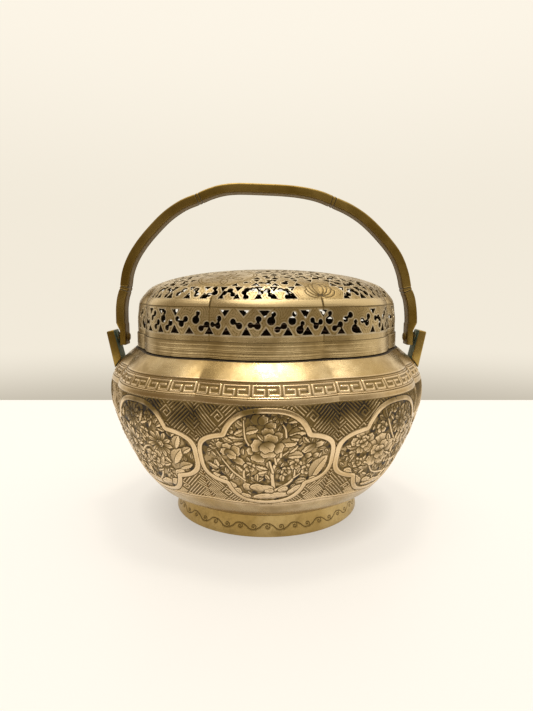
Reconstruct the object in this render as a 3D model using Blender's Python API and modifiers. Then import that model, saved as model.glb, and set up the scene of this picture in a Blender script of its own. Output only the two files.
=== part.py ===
"""Brass hand-warmer censer: an eight-lobed bowl on a foot ring, a pierced lid and a bail that swings on two ears.

The axis of the bowl is Z, with its foot on z = 0. The bail's pivots lie along X. Every lobed outline is a turned
one whose radius dips at eight creases between the lobes, and a lobe is centred on each of the +X, +Y, -X and -Y
directions. Sizes are in metres.
"""

import math

import bmesh
import bpy
from mathutils import Matrix, Vector

MM = 0.001
GAP = 0.3 * MM  # between pieces that touch

# Lobes
LOBES = 8
STEPS = 6 * LOBES  # around the axis, so that a row of vertices runs down each crease
CREASE_DEPTH = 3.3 * MM

# Foot ring and bowl
FOOT_HEIGHT = 10.5 * MM
FOOT_RADIUS = 48.0 * MM
FOOT_THICKNESS = 3.2 * MM
FOOT_TAPER = 1.2 * MM
BOWL_WALL = 2.6 * MM
BOWL_TOP = 84.7 * MM
MOUTH_RADIUS = 60.0 * MM
LEDGE_RADIUS = 67.6 * MM
# Radius and height down the outside of a lobe, from the ledge that the lid stands on to the foot
BOWL_OUTLINE = [
    (67.6, 84.7), (72.3, 81.0), (77.2, 76.0), (80.3, 70.0), (81.2, 63.0), (80.3, 55.0), (77.6, 46.0),
    (74.2, 37.5), (69.6, 29.0), (63.8, 22.0), (57.6, 16.0), (51.0, 12.0), (46.8, 10.8),
]  # fmt: skip
CREASE_STARTS = 11.0 * MM  # the underside is round up to here
CREASE_FULL = 30.0 * MM

# Neck collar, inside the lid's lower edge
COLLAR_RADIUS = 64.9 * MM
COLLAR_THICKNESS = 1.8 * MM
COLLAR_HEIGHT = 6.6 * MM

# Lid
LID_BOTTOM = BOWL_TOP + GAP
LID_RADIUS = 67.2 * MM
LID_THICKNESS = 1.8 * MM
RIM_BAND_TOP = 92.3 * MM
RIM_GROOVE_HEIGHT = 87.4 * MM
WALL_TOP = 106.3 * MM
WALL_TAPER = 0.8 * MM
DOME_THICKNESS = 1.7 * MM
# Radius and height over a lobe, from the crown to the lid's shoulder
DOME_OUTLINE = [
    (0.0, 123.8), (13.0, 123.6), (25.0, 122.8), (36.0, 121.5), (46.0, 119.6), (54.0, 117.2), (59.5, 114.6),
    (63.0, 111.2), (65.0, 108.6), (65.8, 106.6),
]  # fmt: skip

# Holes through the lid
WALL_HOLES_PER_LOBE = 5
WALL_HOLE_RADIUS = 2.9 * MM
WALL_HOLE_HEIGHT = 99.6 * MM
WALL_HOLE_STAGGER = 1.2 * MM
DOME_HOLE_RINGS = [(12.0, 8), (25.0, 16), (38.0, 16), (51.0, 24)]  # ring radius, number of holes
DOME_HOLE_RADIUS = 2.8 * MM

# Liner
LINER_WALL = 1.0 * MM
LINER_TOP = 86.0 * MM
# Radius and height down the outside of the pan, from under its flange
LINER_OUTLINE = [(59.4, 85.0), (59.2, 62.0), (58.0, 44.0), (55.0, 30.0), (49.5, 21.5), (42.0, 18.5)]
FLANGE_RADIUS = 62.2 * MM
RIM_WIRE_RADIUS = 1.1 * MM

# Ears and pivots
PIVOT_HEIGHT = 89.0 * MM
EAR_LEAN = math.radians(14.0)
EAR_THICKNESS = 4.0 * MM
EAR_WIDTH = 10.0 * MM
EAR_FACE = 78.4 * MM  # the inner face's distance from the axis, at the pivot's height
EAR_RISE = 4.0 * MM  # above the pivot, along the plate
EAR_TOE = (79.5, 73.0)  # the lowest point, on the bowl's side
EAR_HEEL = (75.75, 78.1)  # where the inner face meets the shoulder
RIVET_RADIUS = 1.3 * MM
RIVET_HEAD_RADIUS = 2.4 * MM
RIVET_HEAD_HEIGHT = 1.9 * MM
RIVET_REACH = 82.35 * MM  # where the shank ends, flush with the ear's outer face
HOLE_RADIUS = RIVET_RADIUS + GAP
WASHER_RADIUS = 3.05 * MM
WASHER_THICKNESS = 0.6 * MM

# Bail. Its outer outline is drawn from node to node, each stretch bulging a little, from +X over the crown to -X
BAIL_WIDTH = 9.6 * MM
BAIL_THICKNESS = 4.8
BAIL_END = 85.0
BAIL_HEEL = (76.45, 92.5)  # the flat that faces the washer ends here
BAIL_INNER_END = 73.3
BAIL_STRETCHES = [
    [(78.4, 96.5), (78.3, 100.0), (77.8, 105.0), (76.8, 110.0), (75.0, 114.4)],
    [(75.0, 114.4), (72.9, 123.4), (68.9, 132.5), (61.8, 141.5), (52.7, 150.4), (43.9, 156.3), (34.9, 160.4)],
    [(34.9, 160.4), (27.5, 163.3), (19.0, 165.2), (9.6, 166.3), (-2.5, 166.9), (-15.0, 167.2), (-23.0, 166.4),
     (-29.5, 164.6), (-35.5, 162.1)],
    [(-35.5, 162.1), (-44.0, 158.6), (-52.4, 153.0), (-60.2, 145.5), (-66.6, 138.0), (-71.4, 130.5), (-74.4, 122.9),
     (-75.8, 114.8)],
    [(-75.8, 114.8), (-77.3, 110.0), (-78.1, 105.0), (-78.3, 100.0), (-78.3, 96.5)],
]  # fmt: skip
POINTS_PER_SPAN = 2  # along the bail's curves
EDGE_ROUND = 0.5 * MM

BRASS = ((0.52, 0.38, 0.17), 0.34)
DARK_BRASS = ((0.27, 0.19, 0.08), 0.42)
COPPER_LINER = ((0.38, 0.22, 0.13), 0.5)
GREEN_BRASS = ((0.24, 0.31, 0.24), 0.7)


def clear_scene():
    for obj in list(bpy.data.objects):
        bpy.data.objects.remove(obj, do_unlink=True)


def new_collection(name):
    collection = bpy.data.collections.new(name)
    bpy.context.scene.collection.children.link(collection)
    return collection


def make_material(name, look):
    colour, roughness = look
    material = bpy.data.materials.new(name)
    material.use_nodes = True
    shader = material.node_tree.nodes["Principled BSDF"]
    shader.inputs["Base Color"].default_value = (*colour, 1.0)
    shader.inputs["Roughness"].default_value = roughness
    shader.inputs["Metallic"].default_value = 1.0
    return material


def finish_part(obj, look):
    """Gives the piece its own material and its smooth shading."""
    obj.data.materials.append(make_material(obj.name, look))
    obj.data.shade_smooth()
    obj.data.set_sharp_from_angle(angle=math.radians(35.0))
    return obj


def realised(obj, name, collection):
    """A mesh object that holds the evaluated shape of the given one, which is removed."""
    graph = bpy.context.evaluated_depsgraph_get()
    mesh = bpy.data.meshes.new_from_object(obj.evaluated_get(graph))
    mesh.name = name
    mesh.transform(obj.matrix_world)
    bpy.data.objects.remove(obj, do_unlink=True)
    work = bmesh.new()
    work.from_mesh(mesh)
    bmesh.ops.remove_doubles(work, verts=work.verts, dist=0.001 * MM)
    work.to_mesh(mesh)
    work.free()
    result = bpy.data.objects.new(name, mesh)
    collection.objects.link(result)
    return result


def points_mm(pairs):
    return [(a * MM, b * MM) for a, b in pairs]


def smooth_step(value, low, high):
    t = min(max((value - low) / (high - low), 0.0), 1.0)
    return t * t * (3.0 - 2.0 * t)


def offset_inwards(profile, distance):
    """The profile, which runs down its outer side, moved towards the axis side by the distance."""
    moved = []
    for i, (r, z) in enumerate(profile):
        before = profile[max(i - 1, 0)]
        after = profile[min(i + 1, len(profile) - 1)]
        along = Vector((after[0] - before[0], after[1] - before[1])).normalized()
        moved.append((r + along.y * distance, z - along.x * distance))
    return moved


def turned(name, profile, collection, steps=STEPS, closed=False):
    """A solid turned round Z from a profile of radius and height that runs down its outer side."""
    mesh = bpy.data.meshes.new(name + "_profile")
    edges = [(i, i + 1) for i in range(len(profile) - 1)]
    if closed:
        edges.append((len(profile) - 1, 0))
    mesh.from_pydata([(r, 0.0, z) for r, z in profile], edges, [])
    obj = bpy.data.objects.new(name + "_profile", mesh)
    collection.objects.link(obj)
    screw = obj.modifiers.new("turn", "SCREW")
    screw.steps = screw.render_steps = steps
    screw.use_merge_vertices = True
    screw.merge_threshold = 0.01 * MM
    bpy.context.view_layer.update()
    return realised(obj, name, collection)


def press_lobes(obj, depth_at):
    """Draws each vertex towards the axis, most at the creases. depth_at gives the depth from radius and height."""
    for vertex in obj.data.vertices:
        radius = math.hypot(vertex.co.x, vertex.co.y)
        if radius < GAP:
            continue
        dip = 1.0 - abs(math.cos(0.5 * LOBES * math.atan2(vertex.co.y, vertex.co.x)))
        scale = 1.0 - dip * depth_at(radius, vertex.co.z) / radius
        vertex.co.x *= scale
        vertex.co.y *= scale
    return obj


def bowl_depth(radius, height):
    return CREASE_DEPTH * smooth_step(height, CREASE_STARTS, CREASE_FULL)


def mouth_depth(radius, height):
    return CREASE_DEPTH


def dome_depth(radius, height):
    return CREASE_DEPTH * (radius / LID_RADIUS) ** 3


def cut(obj, cutter):
    boolean = obj.modifiers.new("cut_" + cutter.name, "BOOLEAN")
    boolean.operation = "DIFFERENCE"
    boolean.solver = "EXACT"
    boolean.object = cutter


def make_cutter(name, collection, shapes):
    """One helper object of several prisms, each given as (matrix, sides, radius, length)."""
    work = bmesh.new()
    for matrix, sides, radius, length in shapes:
        bmesh.ops.create_cone(
            work, cap_ends=True, segments=sides, radius1=radius, radius2=radius, depth=length, matrix=matrix
        )
    mesh = bpy.data.meshes.new(name)
    work.to_mesh(mesh)
    work.free()
    cutter = bpy.data.objects.new(name, mesh)
    collection.objects.link(cutter)
    cutter.hide_render = True
    cutter.display_type = "WIRE"
    return cutter


def smooth_line(points, per_span):
    """Points on a Catmull-Rom curve through the given ones."""
    points = [Vector(point) for point in points]
    ends = [2.0 * points[0] - points[1]] + points + [2.0 * points[-1] - points[-2]]
    line = []
    for before, start, end, after in zip(ends[:-3], ends[1:-2], ends[2:-1], ends[3:]):
        for i in range(per_span):
            t = i / per_span
            curve = 2.0 * before - 5.0 * start + 4.0 * end - after
            cubic = 3.0 * start - before - 3.0 * end + after
            line.append(start + 0.5 * ((end - before) * t + curve * t * t + cubic * t * t * t))
    return [tuple(point) for point in line] + [tuple(points[-1])]


def extruded_outline(name, outline, width, collection):
    """A flat outline of X and Z, extruded along Y to the width and centred on Y = 0."""
    curve = bpy.data.curves.new(name + "_outline", "CURVE")
    curve.dimensions = "2D"
    curve.fill_mode = "BOTH"
    curve.extrude = 0.5 * width
    spline = curve.splines.new("POLY")
    spline.points.add(len(outline) - 1)
    for point, (x, z) in zip(spline.points, outline):
        point.co = (x, z, 0.0, 1.0)
    spline.use_cyclic_u = True
    obj = bpy.data.objects.new(name + "_outline", curve)
    obj.rotation_euler = (math.radians(90.0), 0.0, 0.0)
    collection.objects.link(obj)
    bpy.context.view_layer.update()
    return realised(obj, name, collection)


def soften(obj, width):
    bevel = obj.modifiers.new("soft_edges", "BEVEL")
    bevel.width = width
    bevel.segments = 1
    bevel.limit_method = "ANGLE"
    bevel.angle_limit = math.radians(50.0)


def make_foot_ring(parts):
    inner_top = FOOT_RADIUS - FOOT_TAPER - FOOT_THICKNESS
    profile = [
        (inner_top, FOOT_HEIGHT),
        (FOOT_RADIUS - FOOT_TAPER, FOOT_HEIGHT),
        (FOOT_RADIUS - 0.5 * FOOT_TAPER, 0.3 * FOOT_HEIGHT),
        (FOOT_RADIUS, 0.1 * FOOT_HEIGHT),
        (FOOT_RADIUS - GAP, 0.0),
        (FOOT_RADIUS - FOOT_THICKNESS, 0.0),
    ]
    finish_part(turned("foot_ring", profile, parts, closed=True), BRASS)


def make_bowl(parts):
    outer = points_mm(BOWL_OUTLINE)
    inner = [point for point in offset_inwards(outer, BOWL_WALL)[1:-1] if point[1] > outer[-1][1] + BOWL_WALL]
    floor = outer[-1][1] + BOWL_WALL
    profile = [(0.0, floor), (inner[-1][0] - BOWL_WALL, floor)] + inner[::-1]
    profile += [(MOUTH_RADIUS, BOWL_TOP - BOWL_WALL), (MOUTH_RADIUS, BOWL_TOP)]
    profile += outer + [(0.0, outer[-1][1])]
    bowl = press_lobes(turned("bowl_shell", profile, parts), bowl_depth)
    finish_part(bowl, BRASS)


def make_neck_collar(parts):
    inner = COLLAR_RADIUS - COLLAR_THICKNESS
    bottom = BOWL_TOP + GAP
    top = bottom + COLLAR_HEIGHT
    profile = [(inner, top), (COLLAR_RADIUS - GAP, top), (COLLAR_RADIUS, top - 2.0 * GAP), (COLLAR_RADIUS, bottom)]
    profile.append((inner, bottom))
    collar = turned("neck_collar", profile, parts, closed=True)
    finish_part(press_lobes(collar, mouth_depth), BRASS)


def make_lid_rim_band(parts):
    inner = LID_RADIUS - LID_THICKNESS
    groove = 0.35 * MM
    profile = [
        (inner, RIM_BAND_TOP),
        (LID_RADIUS - groove, RIM_BAND_TOP),
        (LID_RADIUS, RIM_BAND_TOP - groove),
        (LID_RADIUS, RIM_GROOVE_HEIGHT + groove),
        (LID_RADIUS - groove, RIM_GROOVE_HEIGHT),
        (LID_RADIUS, RIM_GROOVE_HEIGHT - groove),
        (LID_RADIUS, LID_BOTTOM),
        (inner, LID_BOTTOM),
    ]
    finish_part(press_lobes(turned("lid_rim_band", profile, parts, closed=True), mouth_depth), BRASS)


def make_lid_wall(parts, cutters):
    bottom = RIM_BAND_TOP + GAP
    outer_bottom = LID_RADIUS - 0.5 * MM
    outer_top = outer_bottom - WALL_TAPER
    profile = [
        (outer_top - LID_THICKNESS, WALL_TOP),
        (outer_top, WALL_TOP),
        (outer_bottom, 0.5 * (WALL_TOP + bottom)),
        (outer_bottom, bottom),
        (outer_bottom - LID_THICKNESS, bottom),
    ]
    wall = press_lobes(turned("lid_wall", profile, parts, closed=True), mouth_depth)
    holes = []
    count = LOBES * WALL_HOLES_PER_LOBE
    for i in range(count):
        turn = 2.0 * math.pi * (i + 0.5) / count
        points_up = i % 2 == 0
        height = WALL_HOLE_HEIGHT + (-WALL_HOLE_STAGGER if points_up else WALL_HOLE_STAGGER)
        place = Matrix.Rotation(turn, 4, "Z") @ Matrix.Translation((LID_RADIUS, 0.0, height))
        # The prism's axis lies along the radius and one of its corners points up or down.
        lay = Matrix.Rotation(math.radians(90.0), 4, "Y") @ Matrix.Rotation(math.radians(90.0), 4, "Z")
        spin = Matrix.Rotation(math.radians(0.0 if points_up else 180.0), 4, "X")
        holes.append((place @ spin @ lay, 3, WALL_HOLE_RADIUS, 8.0 * LID_THICKNESS))
    cut(wall, make_cutter("wall_holes", cutters, holes))
    finish_part(wall, BRASS)


def make_lid_top(parts, cutters):
    outer = points_mm(DOME_OUTLINE)
    inner = offset_inwards(outer, DOME_THICKNESS)
    inner[0] = (0.0, outer[0][1] - DOME_THICKNESS)
    inner[-1] = (inner[-1][0], outer[-1][1])
    top = press_lobes(turned("lid_top", outer + inner[::-1], parts), dome_depth)
    holes = []
    for ring_radius, count in DOME_HOLE_RINGS:
        for i in range(count):
            turn = 2.0 * math.pi * (i + 0.5) / count
            place = Matrix.Rotation(turn, 4, "Z")
            place @= Matrix.Translation((ring_radius * MM, 0.0, outer[0][1] - DOME_THICKNESS))
            place @= Matrix.Rotation(math.radians(45.0), 4, "Z")
            holes.append((place, 4, DOME_HOLE_RADIUS, 14.0 * DOME_THICKNESS))
    cut(top, make_cutter("dome_holes", cutters, holes))
    finish_part(top, BRASS)


def make_liner(parts):
    outer = points_mm(LINER_OUTLINE)
    flange = outer[0][1]
    inner = offset_inwards(outer, LINER_WALL)
    inner[0] = (inner[0][0], LINER_TOP)
    inner[-1] = (inner[-1][0], outer[-1][1] + LINER_WALL)
    profile = [(0.0, outer[-1][1] + LINER_WALL)] + inner[::-1]
    profile += [(FLANGE_RADIUS, LINER_TOP), (FLANGE_RADIUS, flange)]
    profile += outer + [(0.0, outer[-1][1])]
    pan = press_lobes(turned("liner_pan", profile, parts), liner_depth)
    finish_part(pan, COPPER_LINER)

    centre = (0.5 * (inner[0][0] + FLANGE_RADIUS), LINER_TOP + GAP + RIM_WIRE_RADIUS)
    sides = 8
    section = []
    for i in range(sides):
        angle = -2.0 * math.pi * i / sides
        section.append((centre[0] + RIM_WIRE_RADIUS * math.cos(angle), centre[1] + RIM_WIRE_RADIUS * math.sin(angle)))
    wire = turned("liner_rim_wire", section, parts, closed=True)
    finish_part(press_lobes(wire, mouth_depth), COPPER_LINER)


def liner_depth(radius, height):
    low, high = LINER_OUTLINE[-1][1] * MM, LINER_OUTLINE[2][1] * MM
    return CREASE_DEPTH * smooth_step(height, low, high)


def make_ear(side, side_name, parts, cutters):
    """A plate that leans outwards from the bowl's shoulder. Its top is square to its faces."""
    up = Vector((math.sin(EAR_LEAN), math.cos(EAR_LEAN)))
    out = Vector((math.cos(EAR_LEAN), -math.sin(EAR_LEAN)))
    inner_top = Vector((EAR_FACE, PIVOT_HEIGHT)) + up * EAR_RISE
    outer_top = inner_top + out * EAR_THICKNESS
    outline = [tuple(inner_top), tuple(outer_top)] + points_mm([EAR_TOE, EAR_HEEL])
    outline = [(side * x, z) for x, z in outline]
    ear = extruded_outline("ear_" + side_name, outline, EAR_WIDTH, parts)
    soften(ear, EDGE_ROUND)
    cut(ear, pivot_hole_cutter("ear_hole_" + side_name, side, cutters))
    finish_part(ear, DARK_BRASS)


def pivot_hole_cutter(name, side, cutters):
    place = Matrix.Translation((side * EAR_FACE, 0.0, PIVOT_HEIGHT)) @ Matrix.Rotation(math.radians(90.0), 4, "Y")
    return make_cutter(name, cutters, [(place, 20, HOLE_RADIUS, 30.0 * MM)])


def make_rivet(side, side_name, parts):
    """The shank points outwards and its domed head is on the inner side of the bail."""
    head_base = BAIL_INNER_END * MM - GAP
    profile = [(0.0, RIVET_REACH), (RIVET_RADIUS, RIVET_REACH), (RIVET_RADIUS, head_base)]
    rings = 4
    for i in range(rings):
        angle = 0.5 * math.pi * i / rings
        profile.append((RIVET_HEAD_RADIUS * math.cos(angle), head_base - RIVET_HEAD_HEIGHT * math.sin(angle)))
    profile.append((0.0, head_base - RIVET_HEAD_HEIGHT))
    rivet = turned("pivot_rivet_" + side_name, profile, parts, steps=16)
    rivet.rotation_euler = (0.0, side * math.radians(90.0), 0.0)
    rivet.location = (0.0, 0.0, PIVOT_HEIGHT)
    finish_part(rivet, DARK_BRASS)


def make_washer(side, side_name, parts):
    """It lies against the ear, so it leans as the ear does."""
    half = 0.5 * WASHER_THICKNESS
    profile = [(HOLE_RADIUS, half), (WASHER_RADIUS, half), (WASHER_RADIUS, -half), (HOLE_RADIUS, -half)]
    washer = turned("pivot_washer_" + side_name, profile, parts, steps=20, closed=True)
    centre = EAR_FACE - (GAP + half) / math.cos(EAR_LEAN)
    washer.rotation_euler = (0.0, side * (math.radians(90.0) + EAR_LEAN), 0.0)
    washer.location = (side * centre, 0.0, PIVOT_HEIGHT)
    finish_part(washer, GREEN_BRASS)


def make_bail(parts, cutters):
    line = []
    for stretch in BAIL_STRETCHES:
        line += smooth_line(stretch, POINTS_PER_SPAN)[: None if stretch is BAIL_STRETCHES[-1] else -1]
    under = offset_inwards(line, -BAIL_THICKNESS)
    under = [point for point in under if point[1] > BAIL_STRETCHES[0][1][1]]
    heel_x, heel_z = BAIL_HEEL
    outer = [(heel_x, BAIL_END), BAIL_HEEL] + line + [(-heel_x, heel_z), (-heel_x, BAIL_END)]
    inner = [(BAIL_INNER_END, BAIL_END)] + under + [(-BAIL_INNER_END, BAIL_END)]
    bail = extruded_outline("bail_handle", points_mm(outer + inner[::-1]), BAIL_WIDTH, parts)
    soften(bail, EDGE_ROUND)
    for side, side_name in SIDES:
        cut(bail, pivot_hole_cutter("bail_hole_" + side_name, side, cutters))
    finish_part(bail, DARK_BRASS)


SIDES = ((-1.0, "left"), (1.0, "right"))


def main():
    clear_scene()
    parts = new_collection("hand_warmer_censer")
    cutters = new_collection("cutters")
    make_foot_ring(parts)
    make_bowl(parts)
    make_neck_collar(parts)
    make_lid_rim_band(parts)
    make_lid_wall(parts, cutters)
    make_lid_top(parts, cutters)
    make_liner(parts)
    for side, side_name in SIDES:
        make_ear(side, side_name, parts, cutters)
        make_rivet(side, side_name, parts)
        make_washer(side, side_name, parts)
    make_bail(parts, cutters)


main()
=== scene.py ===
"""Looks of the brass hand-warmer censer: chased bowl, pierced lid, bail, and a pale table to stand on.

Shapes are worked out in millimetres and turned to metres when a mesh is made. The bowl's axis is Z. Its eight
lobes are centred on every 45 degrees from +X, so the creases between them lie halfway. Relief heights are
measured out from the CAD surface, so they are zero or less.
"""

import math

import bmesh
import bpy
import numpy as np
from mathutils import Matrix, Vector


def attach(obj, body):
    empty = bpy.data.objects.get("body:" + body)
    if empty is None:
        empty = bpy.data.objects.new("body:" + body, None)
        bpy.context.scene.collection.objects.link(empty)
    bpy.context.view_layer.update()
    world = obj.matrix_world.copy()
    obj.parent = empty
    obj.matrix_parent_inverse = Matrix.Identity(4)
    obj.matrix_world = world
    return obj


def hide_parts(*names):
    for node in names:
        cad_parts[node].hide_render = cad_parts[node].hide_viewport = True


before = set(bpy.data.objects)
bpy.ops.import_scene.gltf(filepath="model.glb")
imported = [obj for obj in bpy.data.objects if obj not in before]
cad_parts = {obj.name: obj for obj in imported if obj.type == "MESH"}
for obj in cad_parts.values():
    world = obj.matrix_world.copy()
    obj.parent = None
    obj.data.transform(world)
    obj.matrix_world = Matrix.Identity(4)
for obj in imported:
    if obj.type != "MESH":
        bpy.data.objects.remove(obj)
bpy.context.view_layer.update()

MM = 0.001
LOBES = 8
LOBE_ANGLE = 2.0 * math.pi / LOBES
CREASE_DEPTH = 3.3

# Bowl and foot, as in the CAD
FOOT_HEIGHT = 10.5
FOOT_RADIUS = 48.0
FOOT_TAPER = 1.2
FOOT_THICKNESS = 3.2
BOWL_WALL = 2.6
BOWL_TOP = 84.7
MOUTH_RADIUS = 60.0
BOWL_OUTLINE = [
    (67.6, 84.7), (72.3, 81.0), (77.2, 76.0), (80.3, 70.0), (81.2, 63.0), (80.3, 55.0), (77.6, 46.0),
    (74.2, 37.5), (69.6, 29.0), (63.8, 22.0), (57.6, 16.0), (51.0, 12.0), (46.8, 10.8),
]  # fmt: skip
CREASE_STARTS = 11.0
CREASE_FULL = 30.0

# Lid, collar and liner, as in the CAD
LID_BOTTOM = 85.0
LID_RADIUS = 67.2
LID_THICKNESS = 1.8
SHEET_SHOWN = 0.7  # how thick the pierced metal looks
RIM_BAND_TOP = 92.3
WALL_BOTTOM = 92.6
WALL_TOP = 106.3
WALL_TAPER = 0.8
DOME_OUTLINE = [
    (0.0, 123.8), (13.0, 123.6), (25.0, 122.8), (36.0, 121.5), (46.0, 119.6), (54.0, 117.2), (59.5, 114.6),
    (63.0, 111.2), (65.0, 108.6), (65.8, 106.6),
]  # fmt: skip
COLLAR_RADIUS = 64.9
COLLAR_THICKNESS = 1.8
COLLAR_HEIGHT = 6.6
LINER_WALL = 1.0
LINER_TOP = 86.0
LINER_OUTLINE = [(59.4, 85.0), (59.2, 62.0), (58.0, 44.0), (55.0, 30.0), (49.5, 21.5), (42.0, 18.5)]
FLANGE_RADIUS = 62.2
RIM_WIRE_RADIUS = 1.1

# Pivots and bail, as in the CAD
PIVOT_HEIGHT = 89.0
EAR_LEAN = math.radians(14.0)
EAR_THICKNESS = 4.0
EAR_WIDTH = 10.0
EAR_FACE = 78.4
EAR_RISE = 4.0
EAR_TOE = (79.5, 73.0)
EAR_HEEL = (75.75, 78.1)
RIVET_RADIUS = 1.3
RIVET_HEAD_RADIUS = 2.4
RIVET_HEAD_HEIGHT = 1.9
RIVET_REACH = 82.35
HOLE_RADIUS = 1.6
WASHER_RADIUS = 3.05
WASHER_THICKNESS = 0.6
TOUCH_GAP = 0.3
BAIL_WIDTH = 9.6
BAIL_THICKNESS = 4.75
BAIL_END = 85.0
BAIL_HEEL = (76.45, 92.5)
BAIL_INNER_END = 73.3
BAIL_STRETCHES = [
    [(78.4, 96.5), (78.3, 100.0), (77.8, 105.0), (76.8, 110.0), (75.0, 114.4)],
    [(75.0, 114.4), (72.9, 123.4), (68.9, 132.5), (61.8, 141.5), (52.7, 150.4), (43.9, 156.3), (34.9, 160.4)],
    [(34.9, 160.4), (27.5, 163.3), (19.0, 165.2), (9.6, 166.3), (-2.5, 166.9), (-15.0, 167.2), (-23.0, 166.4),
     (-29.5, 164.6), (-35.5, 162.1)],
    [(-35.5, 162.1), (-44.0, 158.6), (-52.4, 153.0), (-60.2, 145.5), (-66.6, 138.0), (-71.4, 130.5),
     (-74.4, 122.9), (-75.8, 114.8)],
    [(-75.8, 114.8), (-77.3, 110.0), (-78.1, 105.0), (-78.3, 100.0), (-78.3, 96.5)],
]  # fmt: skip

# Chased band round the bowl. Chart x runs across a lobe, from crease to crease, and chart y up the wall
CHART_HALF = 31.0
CHART_ZERO_HEIGHT = 23.2
BAND_BOTTOM = 21.4
BAND_TOP = 78.2
RELIEF_COLUMNS = 264
RELIEF_ROWS = 248
BACK_STEP = 8
BACK_DEPTH = 1.35
CORE_RECESS = 1.5
GROUND = -0.72
FRET_BOTTOM = 52.9
FRET_TOP = 59.3
SPANDREL_TOP = 49.8
FRAME_WIDTH = 2.3
LEAF_TRIES = 700

# Holes of the lid
DOME_BAND = 4.2
DOME_SEED = 11
WALL_SEED = 3
# Rows of cells from the shoulder in: distance from the crown along the dome, and how many cells
DOME_ROWS = [(63.2, 48), (55.2, 42), (47.2, 36), (39.2, 30), (31.2, 24), (23.2, 18), (15.2, 11)]
# The round blobs of a dumbbell, a U, an S and a comma: place and radius
BLOBS = [
    [(-1.35, 0.0, 1.12), (1.35, 0.1, 1.18)],
    [(-1.8, 0.8, 1.0), (0.0, -0.9, 1.2), (1.8, 0.8, 1.05)],
    [(-1.0, 2.0, 1.05), (0.8, 0.7, 0.95), (0.8, -0.9, 1.15), (-0.6, -2.1, 1.08)],
    [(-0.8, -0.2, 1.3), (1.3, 0.4, 0.75)],
]


# ---------------------------------------------------------------- curves and meshes


def smooth_step(value, low, high):
    """0 below low, 1 above high, and a smooth slope between."""
    t = np.clip((np.asarray(value, float) - low) / (high - low), 0.0, 1.0)
    return t * t * (3.0 - 2.0 * t)


def hump(value, width):
    """1 at zero, falling smoothly away on both sides."""
    return np.exp(-((value / width) ** 2))


def smooth_line(points, per_span):
    """A Catmull-Rom curve through the points."""
    p = np.asarray(points, float)
    p = np.vstack([2.0 * p[0] - p[1], p, 2.0 * p[-1] - p[-2]])
    t = np.linspace(0.0, 1.0, per_span, endpoint=False)[:, None]
    spans = []
    for a, b, c, d in zip(p[:-3], p[1:-2], p[2:-1], p[3:]):
        cubic = 3.0 * b - a - 3.0 * c + d
        spans.append(0.5 * (2.0 * b + (c - a) * t + (2.0 * a - 5.0 * b + 4.0 * c - d) * t**2 + cubic * t**3))
    return np.vstack(spans + [p[-2:-1]])


def lengths_along(line):
    """The length along a line at each of its points."""
    return np.concatenate([[0.0], np.cumsum(np.hypot(*np.diff(line, axis=0).T))])


def normals_of(profile):
    """Unit normals on the left of a profile that runs down its outer side, so they point out."""
    along = np.gradient(profile, axis=0)
    along /= np.linalg.norm(along, axis=1)[:, None]
    return np.stack([-along[:, 1], along[:, 0]], axis=1)


def dip(angle, softness=0.0):
    """How far the outline dips at an angle: nothing on a lobe's centre, 1 on a crease."""
    cosine = np.cos(0.5 * LOBES * np.asarray(angle))
    return 1.0 - np.sqrt(cosine * cosine + softness * softness)


# How deep the creases are at a radius and a height


def bowl_depth(r, z):
    return CREASE_DEPTH * smooth_step(z, CREASE_STARTS, CREASE_FULL)


def lid_depth(r, z):
    return np.full_like(np.asarray(r, float), CREASE_DEPTH)


def dome_depth(r, z):
    return CREASE_DEPTH * (np.asarray(r) / LID_RADIUS) ** 3


def liner_depth(r, z):
    return CREASE_DEPTH * smooth_step(z, LINER_OUTLINE[-1][1], LINER_OUTLINE[2][1])


def no_depth(r, z):
    return np.zeros_like(np.asarray(r, float))


def moved(x, y, reach, angle):
    """The point at a distance from another, in a direction."""
    return x + reach * math.cos(angle), y + reach * math.sin(angle)


def local(x, y, cx, cy, turn):
    """Coordinates along and across a direction, from a point."""
    dx, dy = x - cx, y - cy
    return dx * math.cos(turn) + dy * math.sin(turn), dy * math.cos(turn) - dx * math.sin(turn)


def polar(radius, angle, height):
    """Points in space from their radius, angle about Z, and height."""
    return np.stack([radius * np.cos(angle), radius * np.sin(angle), height], axis=-1)


def resampled(line, lengths, along):
    """The points of a line at certain lengths along it."""
    return np.stack([np.interp(along, lengths, line[:, 0]), np.interp(along, lengths, line[:, 1])], axis=1)


def quads_between(ids, after):
    """Faces between columns of point numbers and the columns after them."""
    return np.stack([ids[:-1], ids[1:], after[1:], after[:-1]], axis=-1).reshape(-1, 4)


def linked(name, data):
    """A new object in the scene."""
    obj = bpy.data.objects.new(name, data)
    bpy.context.scene.collection.objects.link(obj)
    return obj


def shade_smooth(mesh, sharp_degrees):
    """Smooth shading, except over edges sharper than an angle."""
    mesh.shade_smooth()
    mesh.set_sharp_from_angle(angle=math.radians(sharp_degrees))


def new_mesh(name, points, face_groups, sharp_degrees):
    """An object from points in millimetres and groups of faces, each an array with one row per face."""
    mesh = bpy.data.meshes.new(name)
    mesh.vertices.add(len(points))
    mesh.vertices.foreach_set("co", (np.asarray(points, np.float64) * MM).astype(np.float32).ravel())
    groups = [np.asarray(group, np.int32) for group in face_groups if len(group)]
    corners = np.concatenate([group.ravel() for group in groups])
    sizes = np.concatenate([np.full(len(group), group.shape[1]) for group in groups])
    mesh.loops.add(len(corners))
    mesh.loops.foreach_set("vertex_index", corners)
    mesh.polygons.add(len(sizes))
    mesh.polygons.foreach_set("loop_start", np.concatenate([[0], np.cumsum(sizes)[:-1]]).astype(np.int32))
    mesh.update(calc_edges=True)
    mesh.validate()
    shade_smooth(mesh, sharp_degrees)
    return linked(name, mesh)


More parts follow.
